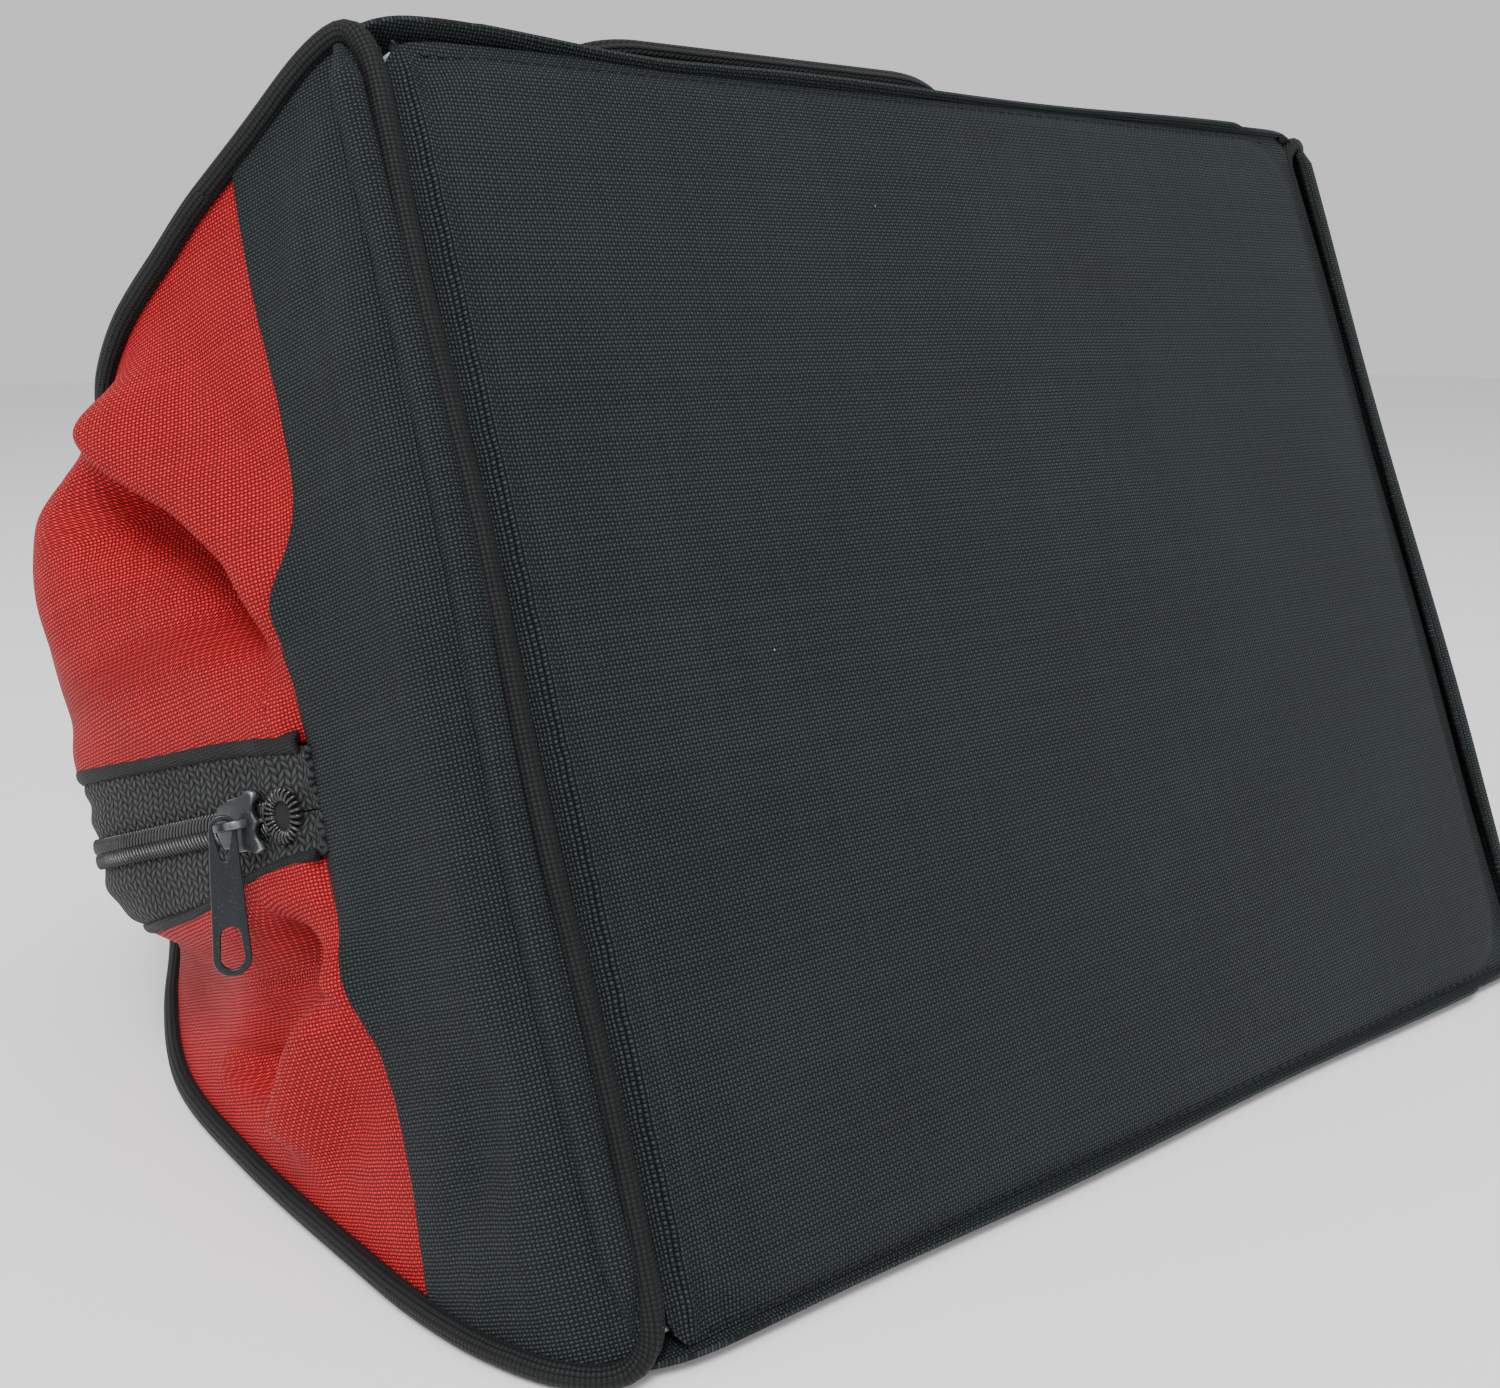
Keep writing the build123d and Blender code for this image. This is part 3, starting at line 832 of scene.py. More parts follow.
def row_mesh(name, kind, lines, look, **values):
    """One mesh of a repeated shape along several (points, outward) lines."""
    if kind not in TREES:
        TREES[kind] = stitch_tree() if kind == "stitch" else turn_tree()
    verts, edges, outward = [], [], []
    for points, normals in lines:
        start = len(verts)
        verts += list(place(points))
        outward += [tuple(n) for n in np.asarray(normals, float) @ np.array([ALONG, ACROSS, UP])]
        edges += [(start + i, start + i + 1) for i in range(len(points) - 1)]
    mesh = new_mesh(name, verts, [], edges)
    layer = mesh.attributes.new("outward", "FLOAT_VECTOR", "POINT")
    layer.data.foreach_set("vector", np.array(outward, np.float32).ravel())
    piece = linked(name, mesh)
    modifier = piece.modifiers.new("row", "NODES")
    modifier.node_group = TREES[kind]
    sockets = {s.name: s.identifier for s in TREES[kind].interface.items_tree if s.in_out == "INPUT"}
    modifier[sockets["Material"]] = cloth_of(look)
    for label, value in values.items():
        modifier[sockets[label]] = value
    done = baked(piece)
    if not len(done.polygons):
        raise RuntimeError(f"{name} came out empty")
    return done


def stitches(name, lines, body, slot, step=None):
    step = step or sizes().stitch
    mesh = row_mesh(
        name, "stitch", lines, "thread", Spacing=step, Length=step * 0.74, Width=0.0008, Height=0.0007,
        Unevenness=0.06, Seed=len(name),
    )
    finish_mesh(name, mesh, slot, body, look="thread")


def coil_half(name, points, outward, slant, body, blend=False):
    """One half of the chain: turns of the coil along a line."""
    mesh = row_mesh(
        name, "turns", [(points, outward)], "coil", Spacing=sizes().coil_pitch, Length=COIL_WIRE,
        Width=0.0038, Height=0.0013, Slant=slant, Unevenness=0.02, Seed=3,
    )
    finish_mesh(name, mesh, "coil", body, blend=blend)


# ---------------------------------------------------------------- base and bands


def base_height(x, y):
    """The base cloth's height: crowned over the board, and lower past the board's rounded outline."""
    inset = np.minimum(HALF_LENGTH + 3 - np.abs(x), HALF_WIDTH - np.abs(y))
    cx = np.maximum(np.abs(x) - (BOARD_LENGTH / 2 - BOARD_CORNER), 0)
    cy = np.maximum(np.abs(y) - (BOARD_WIDTH / 2 - BOARD_CORNER), 0)
    past = np.hypot(cx, cy) - BOARD_CORNER
    crown = -1000 * sizes().crown * (1 - (x / 150) ** 2) * (1 - (y / 135) ** 2)
    step = 2.2 * ease(0, 7, past)
    sag = 0.55 * ripple(1, x, y, 70, 11) + 0.2 * ripple(1, x, y, 24, 12) - 0.3
    sag = sag * (1 - ease(-30, 0, past) * 0.9)
    seam_crease = 0.55 * np.exp(-(((x + 128) / 1.6) ** 2)) * ease(30, 70, y)
    seam_crease += 0.45 * np.exp(-(((x + 122) / 2.0) ** 2)) * ease(50, 90, y)
    within = ease(0, 10, inset)
    near_roll = 2.1 * np.exp(-(((x + 135.6) / 1.9) ** 2)) * ease(0, 9, HALF_WIDTH - np.abs(y))
    seam_crease -= near_roll / np.maximum(within, 0.15)
    return crown + step + sag * ease(0, 12, inset) + seam_crease * within


def base_grid():
    """The base cloth, with close columns beside the near seam and rounded corners."""
    columns = np.concatenate([np.linspace(-BASE_REACH, -130, 16), np.linspace(-128.5, BASE_REACH, 156)])
    x, y = np.meshgrid(columns, np.linspace(-HALF_WIDTH, HALF_WIDTH, 150), indexing="ij")
    square = 34
    past = (np.abs(x) / BASE_REACH) ** square + (np.abs(y) / HALF_WIDTH) ** square
    past = np.maximum(past ** (1 / square), 1)
    x, y = x / past, y / past
    return np.stack([x, y, base_height(x, y)], -1), np.stack([x, y], -1)


def side_out(hand):
    return np.array([0, hand * math.cos(SIDE_LEAN), math.sin(SIDE_LEAN)])


def side_end(side, hand, z):
    """Where a side panel meets an end's seam."""
    if side == FAR:
        return HALF_LENGTH + far_seam(z)
    return -(HALF_LENGTH + (upper_seam(z) if hand == UPPER else lower_seam(z)))


def side_points(hand, x, z, proud=0.0):
    points = np.stack([x + 0 * z, seam_y(hand, z, x) + 0 * x, z + 0 * x], -1)
    return points + side_out(hand) * np.asarray(proud, float)[..., None]


def side_sag(hand, x, z):
    """How far a side panel sags in, or is pushed out where the bag lies on it."""
    t = (x - side_end(NEAR, hand, z)) / (side_end(FAR, hand, z) - side_end(NEAR, hand, z))
    free = np.clip(4 * t * (1 - t), 0, 1) ** 0.6 * ease(0, 30, z) * (1 - ease(215, 247, z))
    if hand == UPPER:
        waves = 2.2 * ripple(5, x, z, 60, 1) + 0.9 * ripple(5, x, z, 22, 2)
        return free * (-5.0 * ease(20, 110, z) + waves)
    return free * (1.2 + 0.9 * ripple(6, x, z, 60, 1))


def side_grid(hand, foot, head, across, up, proud=0.0, short=0.0, lift=0.0):
    """A grid on a side panel and its cloth coordinates. It can stop short, and its foot's corners can lift."""
    a, b = np.meshgrid(np.linspace(0, 1, across), np.linspace(0, 1, up), indexing="ij")
    z = (foot + lift * np.abs(2 * a - 1) ** 50) * (1 - b) + head * b
    x = (side_end(NEAR, hand, z) + short) * (1 - a) + (side_end(FAR, hand, z) - short) * a
    points = side_points(hand, x, z, side_sag(hand, x, z) + proud)
    return points, np.stack([x, z / math.cos(SIDE_LEAN)], -1)


def repeated(direction, points):
    """One direction for each of the points."""
    return np.repeat(np.array([direction], float), len(points), 0)


def make_base():
    sewn_cloth("base_cloth", base_grid(), "black_cloth", "root", ["base_fabric"])
    board = frame["nodes"]["base_board"]
    board.data.materials.clear()
    board.data.materials.append(cloth_of("board"))
    x = np.linspace(-131, 128, 120)
    taper = (0.25 + 0.75 * ease(-131, -118, x) * (1 - ease(114, 128, x)))[:, None, None]
    rows = []
    for hand, label in HANDS:
        z = 3.4 + 0.5 * np.sin(x / 23)
        normal = repeated(side_out(hand), x)
        up = repeated(np.cross(side_out(hand), [hand, 0, 0]), x)
        fold = np.array(round_outline(7.6, 1.5, 0.6)) * taper
        hem = sweep(side_points(hand, x, z, 0.1), up, normal, fold)
        swept_piece(f"{label}_base_hem", [hem], "black_cloth", "root")
        edge = np.full(len(x), hand * (HALF_WIDTH - 3.2))
        on_base = np.stack([x, edge, base_height(x, edge) - 0.1], -1)
        rows.append((on_base, repeated([0, 0, -1], x)))
        rows.append((side_points(hand, x, z + 2.4, 0.95), normal))
    stitches("base_stitches", rows, "root", "black_cloth")


def band_foot(y):
    """The end band's lower edge, lifted under the piping at its corners."""
    return 0.6 + 3.5 * np.minimum(np.abs(y / HALF_WIDTH), 1.0) ** 50


def corner(z):
    """How far the end band's side edges draw in: under the piping, and round its turn at the foot."""
    return 8.5 * np.exp(-((z / 4.5) ** 2)) - 1.3


def make_bands():
    for side, label in ENDS:
        fine = 2 if side == FAR else 1
        grid = end_grid(
            side, lambda z: seam_y(UPPER, z, side * HALF_LENGTH) + corner(z),
            lambda z: seam_y(LOWER, z) - corner(z), band_foot, band_edge, 210 // fine, 46 // fine, 0.9,
        )
        sewn_cloth(f"{label}_end_band", grid, "black_cloth", "root")
        # The rolled cloth at the band's foot, beside the piping
        y = np.linspace(-122.5, 118, 110)
        taper = np.minimum(ease(-123, -112, y) + 0.3, 1) * (1 - 0.7 * ease(105, 118, y))
        path = np.stack([side * (HALF_LENGTH + 12.0 + 0.8 * np.sin(y / 26)), y, 3.0 + 0 * y], -1)
        way = tangents(path)
        out = square_to(way, repeated([side * 0.6, 0, -1], y))
        flat = np.array(round_outline(6.4, 5.0, count=16))
        roll = sweep(path, np.cross(way, out), out, flat[None] * taper[:, None, None])
        swept_piece(f"{label}_band_roll", [roll], "black_cloth", "root")
    for hand, label in HANDS:
        grid = side_grid(hand, 0.6, BAND_HEIGHT - 6, 150, 24, 0.7, lift=3.5)
        sewn_cloth(f"{label}_side_band", grid, "black_cloth", "root")


# ---------------------------------------------------------------- red walls and lining


def over_tape(y, z):
    """How far the red cloth stands out where it covers the zipper's tape."""
    beside = np.exp(-((tape_reach(y, z) / 11) ** 4))
    return RED_PROUD * beside * ease(-1, 7, z - band_edge(y))


def make_ends():
    for side, label in ENDS:
        fine = 2 if side == FAR else 1
        # Its side edges, how many points it has across, and whether it is left unattached to any body
        for half, left, right, across, moves in (
            (
                "upper", lambda z: seam_y(UPPER, z, side * HALF_LENGTH) - 1.3,
                lambda z: zip_y(z) - upper_tape_edge(z) - 1.8, 110, True,
            ),
            (
                "lower", lambda z: zip_y(z) + lower_tape_edge(z) + 1.2,
                lambda z: seam_y(LOWER, z) + 1.3, 96, False,
            ),
        ):
            grid = end_grid(
                side, left, right, lambda y: band_edge(y) - 9, RIDGE_HEIGHT - 1.2,
                across // fine, 230 // fine, over_tape,
            )
            sewn_cloth(
                f"{label}_red_{half}", grid, "red_cloth", "root", [f"{label}_gusset_{half}"], blend=moves
            )


def make_sides():
    for (hand, half), across, up in zip(HANDS, (190, 130), (120, 90)):
        grid = side_grid(hand, BAND_HEIGHT - 12, RIDGE_HEIGHT - 0.5, across, up)
        sewn_cloth(
            f"{half}_red_side", grid, "red_cloth", "root", [f"{half}_side_panel"], blend=hand == UPPER
        )


def make_linings():
    x, y = np.meshgrid(np.linspace(-136, 136, 40), np.linspace(-121, 121, 36), indexing="ij")
    floor = np.stack([x, y, 5.0 + 0.3 * ripple(3, x, y, 40, 2)], -1), np.stack([x, y], -1)
    top = RIDGE_HEIGHT - 8
    upper_wall, lower_wall = (lambda z: -side_y(z) + 3), (lambda z: side_y(z) - 3)
    upper_edge, lower_edge = (lambda z: zip_y(z) - 14), (lambda z: zip_y(z) + 14)
    parts = [("base_lining", floor, False)]
    for side, label in ENDS:
        for name, left, right, foot, head, up in (
            ("band_lining", upper_wall, lower_wall, 6.0, BAND_HEIGHT, 14),
            ("lining_upper", upper_wall, upper_edge, BAND_HEIGHT, top, 60),
            ("lining_lower", lower_edge, lower_wall, BAND_HEIGHT, top, 60),
        ):
            grid = end_grid(side, left, right, foot, head, 40, up, LINING_INSET)
            parts.append((f"{label}_{name}", grid, name == "lining_upper"))
    for name, hand, foot, head in (
        ("upper_band_lining", UPPER, 6.0, BAND_HEIGHT),
        ("upper_side_lining", UPPER, BAND_HEIGHT, top),
        ("lower_side_lining", LOWER, 6.0, top),
    ):
        grid = side_grid(hand, foot, head, 60, 40, LINING_INSET, 9.0)
        parts.append((name, grid, name == "upper_side_lining"))
    for name, grid, moves in parts:
        sewn_cloth(name, grid, "fire_lining", "root", blend=moves, thickness=LINING_THICKNESS)


# ---------------------------------------------------------------- piping


def seam_route(side, hand, foot, head, count):
    z = np.linspace(foot, head, count)
    x = np.abs(side_end(side, hand, z)) + 0.9
    return np.stack([side * x, seam_y(hand, z, side * x) + 0.7 * hand, z], -1)


def base_route(side, count):
    """The piping's run along the base's edge, with a turn at each corner."""
    share = np.linspace(-1, 1, count)
    wobble = 0.5 * np.sin(share * 7.0)
    out, up = (142.3, 2.0) if side == NEAR else (140.4, 4.4)
    return np.stack([side * (out + wobble), share * 119.5, up + 0 * share], -1)


def rounded(points):
    """Points of a route, softened where it turns."""
    points = points.copy()
    for _ in range(6):
        points[1:-1] = points[1:-1] * 0.5 + (points[:-2] + points[2:]) * 0.25
    return points


def even(points, step):
    """A route with points a step apart."""
    run = run_of(points)
    at = np.linspace(0, run[-1], max(int(run[-1] / step), 2))
    return np.stack([np.interp(at, run, points[:, k]) for k in range(3)], -1)


def make_piping():
    radius = 1000 * sizes().piping
    mouth_foot = 37.5
    for side, label in ENDS:
        up_to_mouth = seam_route(side, UPPER, 3.5, mouth_foot, 16)[::-1]
        down = seam_route(side, LOWER, 3.5, RIDGE_HEIGHT - 1, 90)
        root_line = rounded(even(np.concatenate([up_to_mouth, base_route(side, 90), down]), 2.2))
        mouth_line = even(seam_route(side, UPPER, mouth_foot, RIDGE_HEIGHT - 1, 90), 2.2)
        for name, line, moves in (("piping", root_line, False), ("piping_upper", mouth_line, True)):
            way = tangents(line)
            centre = np.stack([0 * line[:, 0], line[:, 1] * 0.2, line[:, 2] * 0 + 110], -1)
            out = square_to(way, line - centre)
            bead = sweep(line, np.cross(way, out), out, round_outline(2 * radius, 2 * radius))
            swept_piece(f"{label}_{name}", [bead], "piping", "root", blend=moves)


# ---------------------------------------------------------------- zipper

TAPE_PROUD = 1.2
TAPE_THICKNESS = 0.0016
COIL_WIRE = 0.00042
COIL_PROUD = 0.75
COIL_SLANT = 0.45
COIL_CENTRE = 1.6
EYE_HEIGHT = 53.0
SLIDER_HEIGHT = 66.0
PULL_SKEW = math.radians(8.5)
PULL_TURN = math.radians(55.0)


def tape_relief(t):
    """The tape's relief from the chain outward: two braided ridges with a groove between."""
    return 1.1 * np.exp(-(((t - 0.42) / 0.17) ** 2)) + 1.2 * np.exp(-(((t - 0.82) / 0.15) ** 2))


def ridge_strip(hand, inner, outer, across, length, proud):
    """A grid along the ridge beside the chain, between two distances from it."""
    a, x = np.meshgrid(np.linspace(0, 1, across), np.linspace(-RIDGE_REACH, RIDGE_REACH, length), indexing="ij")
    y = hand * (inner + (outer - inner) * a)
    z = RIDGE_HEIGHT + np.broadcast_to(np.reshape(proud, (-1, 1)), y.shape)
    return np.stack([x, y, z], -1), np.stack([y, x], -1)


def chain_lines(side, hand):
    """The coil's line up an end, and its outward directions."""
    z = np.linspace(59, RIDGE_HEIGHT - 1.5, 120)
    y = zip_y(z) + hand * COIL_CENTRE
    out = zip_run(z)
    slope = np.gradient(out, z)
    normal = np.stack([side * np.ones_like(z), 0 * z, -slope], -1)
    normal /= np.linalg.norm(normal, axis=1, keepdims=True)
    points = np.stack([side * (HALF_LENGTH + bow(side, y, z)), y, z], -1) + normal * (TAPE_PROUD + COIL_PROUD)
    return points, normal


def end_strip(side, hand, inner, outer, foot, head, up, proud):
    """A grid on an end beside the chain, between two distances from it."""
    lines = [lambda z, reach=line_of(reach): zip_y(z) + hand * reach(z) for reach in (inner, outer)]
    left, right = lines[::-1] if hand == UPPER else lines
    return end_grid(side, left, right, foot, head, len(proud), up, proud[:, None])


def make_zipper():
    relief = TAPE_PROUD + tape_relief(np.linspace(0, 1, 26))
    hump = RED_PROUD - 1.4 + 1.8 * np.sin(math.pi * np.linspace(0, 1, 10)) ** 0.5
    for side, label in ENDS:
        for hand, half in HANDS:
            moves = hand == UPPER
            edge, wide = (upper_tape_edge, 4.4) if moves else (lower_tape_edge, 2.0)
            tape = end_strip(
                side, hand, 0.15, lambda z: edge(z) + 1.2, 40.0, RIDGE_HEIGHT + 1.0, 150,
                relief[::-1] if moves else relief,
            )
            sewn_cloth(f"{label}_tape_{half}", tape, "zip_tape", "root", blend=moves, thickness=TAPE_THICKNESS)
            binding = end_strip(
                side, hand, lambda z: edge(z) - 0.7, lambda z: edge(z) + wide,
                lambda y: band_edge(y) + 1.0, RIDGE_HEIGHT - 24, 130, hump,
            )
            sewn_cloth(f"{label}_binding_{half}", binding, "binding", "root", blend=moves, thickness=0.001)
            name = f"{label}_coil_{half}"
            coil_half(name, *chain_lines(side, hand), COIL_SLANT * hand, "root", moves)
    x = np.linspace(-RIDGE_REACH, RIDGE_REACH, 120)
    for (hand, half), body in zip(HANDS, ("mouth", "root")):
        grid = ridge_strip(hand, 0.15, 17.5, 26, 150, relief)
        sewn_cloth(f"ridge_tape_{half}", grid, "zip_tape", body, thickness=TAPE_THICKNESS)
        points = side_points(hand, x, np.full(len(x), RIDGE_HEIGHT - 3.2), 0.7)
        normal = repeated(side_out(hand), x)
        up = np.cross(normal, ALONG)
        strip = sweep(points, up, normal, round_outline(8.6, 1.6, 0.6))
        swept_piece(f"ridge_binding_{half}", [strip], "binding", body)
        line = np.stack([x, 0 * x + hand * COIL_CENTRE, 0 * x + RIDGE_HEIGHT + TAPE_PROUD + COIL_PROUD], -1)
        coil_half(f"ridge_coil_{half}", line, repeated([0, 0, 1], x), -COIL_SLANT * hand, body)
    make_eyes()


def on_tape(side, z):
    """The middle of the tape at a height: its place, and the directions up the chain, across it and outward."""
    rise, run = 85.0, 27.0
    outward = np.array([side * rise, 0, -run])
    outward /= np.linalg.norm(outward)
    up = np.array([side * run, -17.0 * rise / RIDGE_HEIGHT, rise])
    up /= np.linalg.norm(up)
    surface = np.array([side * (HALF_LENGTH + 29 + run * (z - 35) / rise), zip_y(z), z]) + outward * TAPE_PROUD
    return surface, up, np.cross(outward, up), outward


def make_eyes():
    """The coil's open loop at the foot of each chain: a ring of coil turns with a dark middle."""
    a = np.linspace(0, math.tau, 61)
    count = len(a) - 1
    rings = [
        (k * count + i, k * count + j, (k + 1) * count + j, (k + 1) * count + i)
        for k in (0, 1) for i in range(count) for j in [(i + 1) % count]
    ]
    # A near-black disc that stands in for the shade inside the loop: painted shade.
    well = np.concatenate([
        np.stack([radius * np.cos(a), radius * np.sin(a), 0 * a + high], -1)[:-1]
        for radius, high in ((5.6, 1.0), (4.6, 1.75), (0.02, 1.75))
    ])
    for side, label in ENDS:
        centre, up, across, outward = on_tape(side, EYE_HEIGHT)
        spokes = np.cos(a)[:, None] * up + np.sin(a)[:, None] * across
        path = centre + outward * 1.5 + spokes * 4.3
        verts = place(centre + well @ np.array([up, across, outward]))
        # Gives the disc its near-black painted shade material.
        mesh = joined_mesh(f"{label}_eye_painted_shade", [(verts, rings)])
        finish_mesh(f"{label}_eye_painted_shade", mesh, "zip_tape", "root", look="well")
        mesh = row_mesh(
            f"{label}_zip_eye", "turns", [(path, repeated(outward, a))], "coil",
            Spacing=0.00106, Length=COIL_WIRE, Width=0.0027, Height=0.0022, Unevenness=0.06, Seed=6,
        )
        finish_mesh(f"{label}_zip_eye", mesh, "coil", "root")


def flat_plate(outline, holes, thickness, bevel, origin, axes):
    """A plate with holes and eased edges, as verts and faces in the row's frame."""
    curve = bpy.data.curves.new("plate", "CURVE")
    curve.dimensions, curve.fill_mode = "2D", "BOTH"
    curve.extrude, curve.bevel_depth, curve.bevel_resolution = thickness / 2 - bevel, bevel, 2
    for points in (outline, *holes):
        spline = curve.splines.new("POLY")
        spline.points.add(len(points) - 1)
        flat = np.column_stack([points, np.zeros(len(points)), np.ones(len(points))])
        spline.points.foreach_set("co", flat.ravel())
        spline.use_cyclic_u = True
    holder = linked("plate", curve)
    bpy.context.view_layer.update()
    mesh = bpy.data.meshes.new_from_object(holder.evaluated_get(bpy.context.evaluated_depsgraph_get()))
    bpy.data.objects.remove(holder)
    bpy.data.curves.remove(curve)
    verts = place(np.array([v.co for v in mesh.vertices]) @ np.array(axes) + origin)
    faces = [tuple(p.vertices) for p in mesh.polygons]
    bpy.data.meshes.remove(mesh)
    return verts, faces


def hull(circles, inset=0.0):
    """The outline round circles of (radius, x, y), as points."""
    cloud = sorted({
        (x + (r - inset) * math.cos(a), y + (r - inset) * math.sin(a))
        for r, x, y in circles
        for a in np.linspace(0, math.tau, 40, endpoint=False)
    })

    def turns_right(a, b, c):
        return (b[0] - a[0]) * (c[1] - a[1]) - (b[1] - a[1]) * (c[0] - a[0]) <= 0

    def chain(points):
        kept = []
        for p in points:
            while len(kept) > 1 and turns_right(kept[-2], kept[-1], p):
                kept.pop()
            kept.append(p)
        return kept[:-1]

    return chain(cloud) + chain(cloud[::-1])


def joined_mesh(name, parts):
    """One mesh of several lists of verts and faces, merged and turned outward."""
    verts, faces = [], []
    for v, f in parts:
        base = len(verts)
        verts += [tuple(p) for p in v]
        faces += [tuple(base + i for i in face) for face in f]
    return turn_outward(new_mesh(name, verts, faces), merge=0.000004)


def both_halves(half):
    """A whole outline from one half of it."""
    return half + [(x, -y) for x, y in half[-2:0:-1]]


def make_slider():
    centre, up, across, outward = on_tape(NEAR, SLIDER_HEIGHT)
    axes = up, across, outward
    plate_low, plate_thick = 2.2, 1.6
    # The nose, towards the eye, is a crescent with a shoulder on each side
    upper = both_halves([
        (6.4, 0.0), (6.3, 2.6), (5.4, 3.9), (3.0, 4.4), (-1.0, 4.8), (-3.2, 5.3),
        (-5.2, 5.9), (-6.5, 5.4), (-5.9, 4.0), (-5.2, 2.4), (-5.5, 1.2), (-6.2, 0.0),
    ])
    under = both_halves([(5.4, 0.0), (5.2, 3.0), (4.4, 4.2), (-4.6, 4.4), (-5.3, 3.2), (-5.4, 0.0)])
    flange = [(4.0, 4.25), (4.0, 5.2), (-4.2, 5.5), (-4.2, 4.25)]
    flanges = [[(x, hand * y) for x, y in flange] for hand in (-1, 1)]
    post = [(-4.6, -0.3), (-4.6, 0.3), (-6.4, 0.3), (-6.4, -0.3)]
    # Each plate's outline, thickness, bevel and height over the tape
    parts = [
        flat_plate(outline, [], thickness, bevel, centre + outward * high, axes)
        for outline, thickness, bevel, high in (
            (upper, 1.5, 0.5, plate_low + plate_thick / 2),
            (under, 1.4, 0.4, -(TAPE_PROUD + 1.4 + 0.35 + 0.8)),
            (flanges[0], 1.9, 0.2, 1.32),
            (flanges[1], 1.9, 0.2, 1.32),
            (post, 6.4, 0.05, -0.2),
        )
    ]
    # The bridge's bar runs along the chain, and the pull's eye hangs from it
    rise = [(3.7, -0.3), (3.7, 1.6), (3.4, 2.5), (2.5, 3.0), (1.0, 3.08)]
    arch = [(-x, z) for x, z in rise] + rise[::-1]
    path = np.array([centre + up * x + outward * (plate_low + plate_thick + z) for x, z in arch])
    way = tangents(path)
    wide = repeated(across, path)
    parts.append(sweep(path, wide, np.cross(way, wide), round_outline(1.75, 0.95, 0.35))[:2])
    finish_mesh("slider_body", joined_mesh("slider_body", parts), "gunmetal", "slider", ["slider"])

    pull_joint = next(j for j in frame["joints"] if j["name"] == "pull")
    from_base = np.array(pull_joint["pos_m"]) - np.array(BASE_FACE["pos_m"])
    origin = np.array([ALONG, ACROSS, UP]) @ from_base * 1000
    down = across * math.cos(PULL_SKEW) + up * math.sin(PULL_SKEW)
    side = np.cross(outward, down)
    facing = outward * math.cos(PULL_TURN) + side * math.sin(PULL_TURN)
    bevel, tip = 0.28, 26.25
    outline = hull(((2.65, 0.15, 0), (3.75, tip, 0)), bevel)
    eye = hull(((1.5, 0.2, 0.4), (1.5, 0.2, -0.4), (0.7, 6.0, 0)), -bevel)
    finger = hull(((1.9, tip - 4.4, 0), (2.3, tip, 0)), -bevel)
    plate = flat_plate(outline, [eye, finger], 1.2, bevel, origin, (down, np.cross(facing, down), facing))
    finish_mesh("zip_pull", joined_mesh("zip_pull", [plate]), "gunmetal", "pull", ["pull_tab"])


# ---------------------------------------------------------------- handles

SLANT = 172.0
SPACING = 130.0
REACH = 153.0
LEG = 90.0
WEBBING_WIDTH = 25.0
WEBBING_THICKNESS = 2.4
GRIP_WIDTH = 13.0
SEWN_LENGTH = 42.0
HANDLE_SKEW = -26.0
HANDLE_LIFT = math.radians(8.5)


def handle_line(skew):
    """A handle's middle line in its own plane, with its width and thickness at each point."""
    corner = 27.0
    tilt = math.atan2(skew, REACH)
    start = np.array([-SPACING / 2, 1.0])
    leg_end = start + LEG * np.array([math.sin(tilt), math.cos(tilt)])
    bend = np.array([skew - SPACING / 2, REACH])
    first = leg_end + (bend - leg_end) * max(0.0, 1 - corner / np.linalg.norm(bend - leg_end))
    last = bend + np.array([corner, 0])
    t = np.linspace(0, 1, 26)[:, None]
    turn = (1 - t) ** 2 * first + 2 * t * (1 - t) * bend + t * t * last
    left = np.concatenate([np.linspace(start, leg_end, 40, endpoint=False), turn])
    across = np.linspace(last, [skew, REACH], 16)[1:]
    half = np.concatenate([left, across])
    mirror = half[::-1][1:] * [-1, 1]
    lean = 2 * np.interp(mirror[:, 1], [0, REACH], [0, skew])
    line = np.concatenate([half, mirror + np.stack([lean, 0 * lean], -1)])
    run = run_of(line)
    from_end = np.minimum(run, run[-1] - run)
    folded = ease(LEG - 12, LEG + 10, from_end)
    return line, WEBBING_WIDTH + (GRIP_WIDTH - WEBBING_WIDTH) * folded, folded


def strap(pivot, reach_way, out, skew, full_thickness):
    """A handle swept along its line, folded over on itself at its grip."""
    line, width, folded = handle_line(skew)
    points = pivot + line[:, :1] * np.array(ALONG) + line[:, 1:] * reach_way
    normal = repeated(out, points)
    thickness = WEBBING_THICKNESS + (full_thickness - WEBBING_THICKNESS) * folded
    flat = np.array(round_outline(1.0, 1.0, 0.18))
    outline = np.stack([flat * [w, t] for w, t in zip(width, thickness)])
    return sweep(points, np.cross(tangents(points), normal), normal, outline)


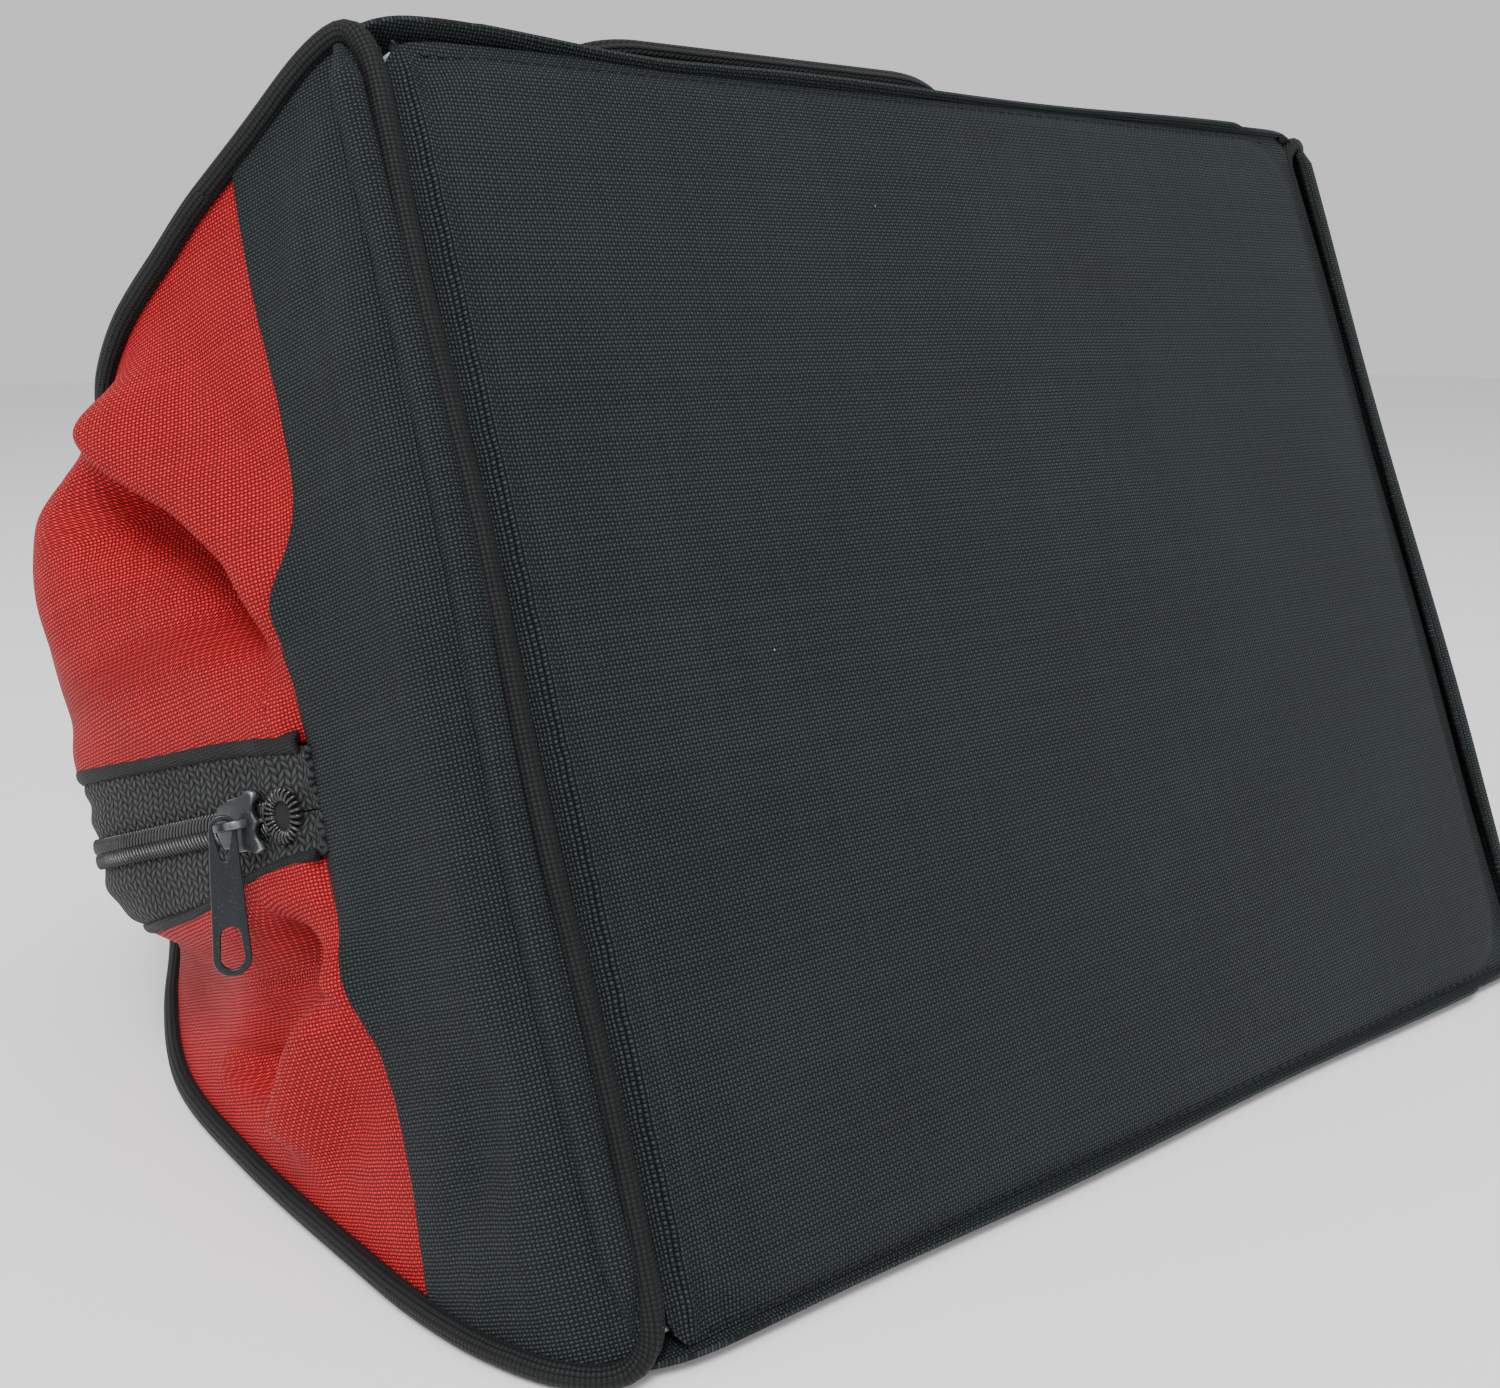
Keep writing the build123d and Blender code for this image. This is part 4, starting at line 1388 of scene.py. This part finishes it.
def make_handles():
    for (hand, half), parent in zip(HANDS, ("mouth", "root")):
        out = side_out(hand)
        up = np.array([0, -hand * math.sin(SIDE_LEAN), math.cos(SIDE_LEAN)])
        seam = np.array([0, hand * HALF_WIDTH, 0]) + up * SLANT
        sewn = seam + out * 1.25
        if hand == UPPER:
            reach_way = out * math.sin(HANDLE_LIFT) - up * math.cos(HANDLE_LIFT)
            normal = out * math.cos(HANDLE_LIFT) + up * math.sin(HANDLE_LIFT)
            whole = strap(sewn + out * 2.8, reach_way, normal, HANDLE_SKEW, 2 * WEBBING_THICKNESS)
        else:
            whole = strap(seam + out * 2.15, up, out, 0.0, WEBBING_THICKNESS)
        name = f"{half}_handle"
        swept_piece(name, [whole], "webbing", name, [f"{name}_webbing", f"{name}_grip"])
        # The sewn ends, each with a box and a cross of stitches
        ends, rows = [], []
        w, top, foot = WEBBING_WIDTH / 2 - 3, -4.0, -1 - SEWN_LENGTH + 3
        box = [(-w, top), (w, top), (w, foot), (-w, foot), (-w, top), (w, foot)]
        seams = [*zip(box, box[1:]), ((-w, foot), (w, top))]
        for x in (-SPACING / 2, SPACING / 2):
            at = sewn + np.array([x, 0, 0])
            points = at + np.linspace(-1, -1 - SEWN_LENGTH, 24)[:, None] * up
            flat = round_outline(WEBBING_WIDTH, WEBBING_THICKNESS, 0.5)
            ends.append(sweep(points, repeated(ALONG, points), repeated(out, points), flat))
            t = np.linspace(0, 1, 12)[:, None]
            for (x0, d0), (x1, d1) in seams:
                line = at + out * 1.35 + (x0 + (x1 - x0) * t) * np.array(ALONG) + (d0 + (d1 - d0) * t) * up
                rows.append((line, repeated(out, t)))
        swept_piece(f"{name}_ends", ends, "webbing", parent)
        stitches(f"{name}_stitches", rows, parent, "webbing", step=0.0028)


# ---------------------------------------------------------------- stage


# Each light's name, its place from the bag's middle, size and power
LAMPS = (
    ("key", (-0.8, -0.9, 1.5), 0.7, 44.0),
    ("fill", (-1.7, 0.2, 0.5), 0.8, 7.0),
    ("front", (0.6, -1.7, 0.6), 1.2, 10.0),
)
WORLD_STRENGTH = 0.8
# The camera's place in the bag's standing frame, and its directions in the row's frame
CAMERA_PLACE = (-259.6, 36.3, -242.4)
CAMERA_AHEAD = (0.564, 0.787, -0.248)
CAMERA_RIGHT = (0.813, -0.582, 0)
CAMERA_LENS, CAMERA_SENSOR = 35.74, 36.0


def make_stage():
    floor = new_mesh("floor", [(-4, -4, 0), (4, -4, 0), (4, 4, 0), (-4, 4, 0)], [(0, 1, 2, 3)])
    net = Net("floor")
    where = net.node("TexCoord").out("Object")
    tone = net.mix(net.noise(3.0, where, 2.0), (0.86, 0.86, 0.86), (0.9, 0.9, 0.9))
    floor.materials.append(net.surface(tone, 0.8, net.noise(200.0, where), 0.02, 0.0005))
    piece = linked("floor", floor)
    piece.location.z = cad_box[0].z - 0.0002
    world = bpy.data.worlds.new("studio")
    world.use_nodes = True
    background = world.node_tree.nodes["Background"].inputs
    background["Color"].default_value = (1.0, 1.0, 1.0, 1.0)
    background["Strength"].default_value = WORLD_STRENGTH
    bpy.context.scene.world = world
    centre = (cad_box[0] + cad_box[1]) / 2
    for name, spot, size, power in LAMPS:
        light = bpy.data.lights.new(name, "AREA")
        light.size, light.energy = size, power
        lamp = linked(name, light)
        lamp.location = centre + Vector(spot)
        lamp.rotation_euler = (-Vector(spot)).to_track_quat("-Z", "Y").to_euler()
    camera = linked("camera", bpy.data.cameras.new("camera"))
    camera.data.lens, camera.data.sensor_width = CAMERA_LENS, CAMERA_SENSOR
    camera.data.clip_start = 0.01
    camera.location = Vector(place(CAMERA_PLACE))
    forward, right = Vector(CAMERA_AHEAD).normalized(), Vector(CAMERA_RIGHT).normalized()
    over = right.cross(forward).normalized()
    camera.rotation_euler = Matrix((right, over, -forward)).transposed().to_euler()
    bpy.context.scene.camera = camera


# ---------------------------------------------------------------- add-on


def piece_operator(key, label, doc, maker):
    """An operator class that makes one group of pieces."""

    def execute(self, context):
        maker()
        return {"FINISHED"}

    members = {"bl_idname": f"bag.{key}", "bl_label": label, "__doc__": doc, "execute": execute}
    return type(f"BAG_OT_{key}", (bpy.types.Operator,), members)


OPERATORS = [
    piece_operator("base", "Base", "Base cloth over its board, and the two hems", make_base),
    piece_operator("bands", "Bands", "Black bands round the foot", make_bands),
    piece_operator("ends", "End walls", "Red end walls, in two halves each side of the zipper", make_ends),
    piece_operator("sides", "Side walls", "Red side walls", make_sides),
    piece_operator("linings", "Linings", "Fire-resistant lining behind each wall", make_linings),
    piece_operator("piping", "Piping", "Piping round both end seams", make_piping),
    piece_operator("zipper", "Zipper", "Tapes, bindings, coils and eyes", make_zipper),
    piece_operator("slider", "Slider", "Slider and its pull", make_slider),
    piece_operator("handles", "Handles", "Webbing handles with their sewn ends", make_handles),
    piece_operator("stage", "Stage", "Floor, lights and camera", make_stage),
]


class BAG_PT_panel(bpy.types.Panel):
    """Sizes, colours and pieces of the bag"""

    bl_label = "Lipo safe bag"
    bl_idname = "BAG_PT_panel"
    bl_space_type = "VIEW_3D"
    bl_region_type = "UI"
    bl_category = "Bag"

    def draw(self, context):
        for group in (context.scene.bag_sizes, context.scene.bag_colours):
            for name in group.bl_rna.properties.keys():
                if name not in ("rna_type", "name"):
                    self.layout.prop(group, name)
        for operator in OPERATORS:
            self.layout.operator(operator.bl_idname)


CLASSES = [BagSizes, BagColours, *OPERATORS, BAG_PT_panel]


def register():
    for cls in CLASSES:
        bpy.utils.register_class(cls)
    bpy.types.Scene.bag_sizes = bpy.props.PointerProperty(type=BagSizes)
    bpy.types.Scene.bag_colours = bpy.props.PointerProperty(type=BagColours)


def unregister():
    del bpy.types.Scene.bag_colours
    del bpy.types.Scene.bag_sizes
    for cls in reversed(CLASSES):
        bpy.utils.unregister_class(cls)


def main():
    register()
    for operator in OPERATORS:
        getattr(bpy.ops.bag, operator.bl_idname.split(".")[1])()


if __name__ == "__main__":
    main()
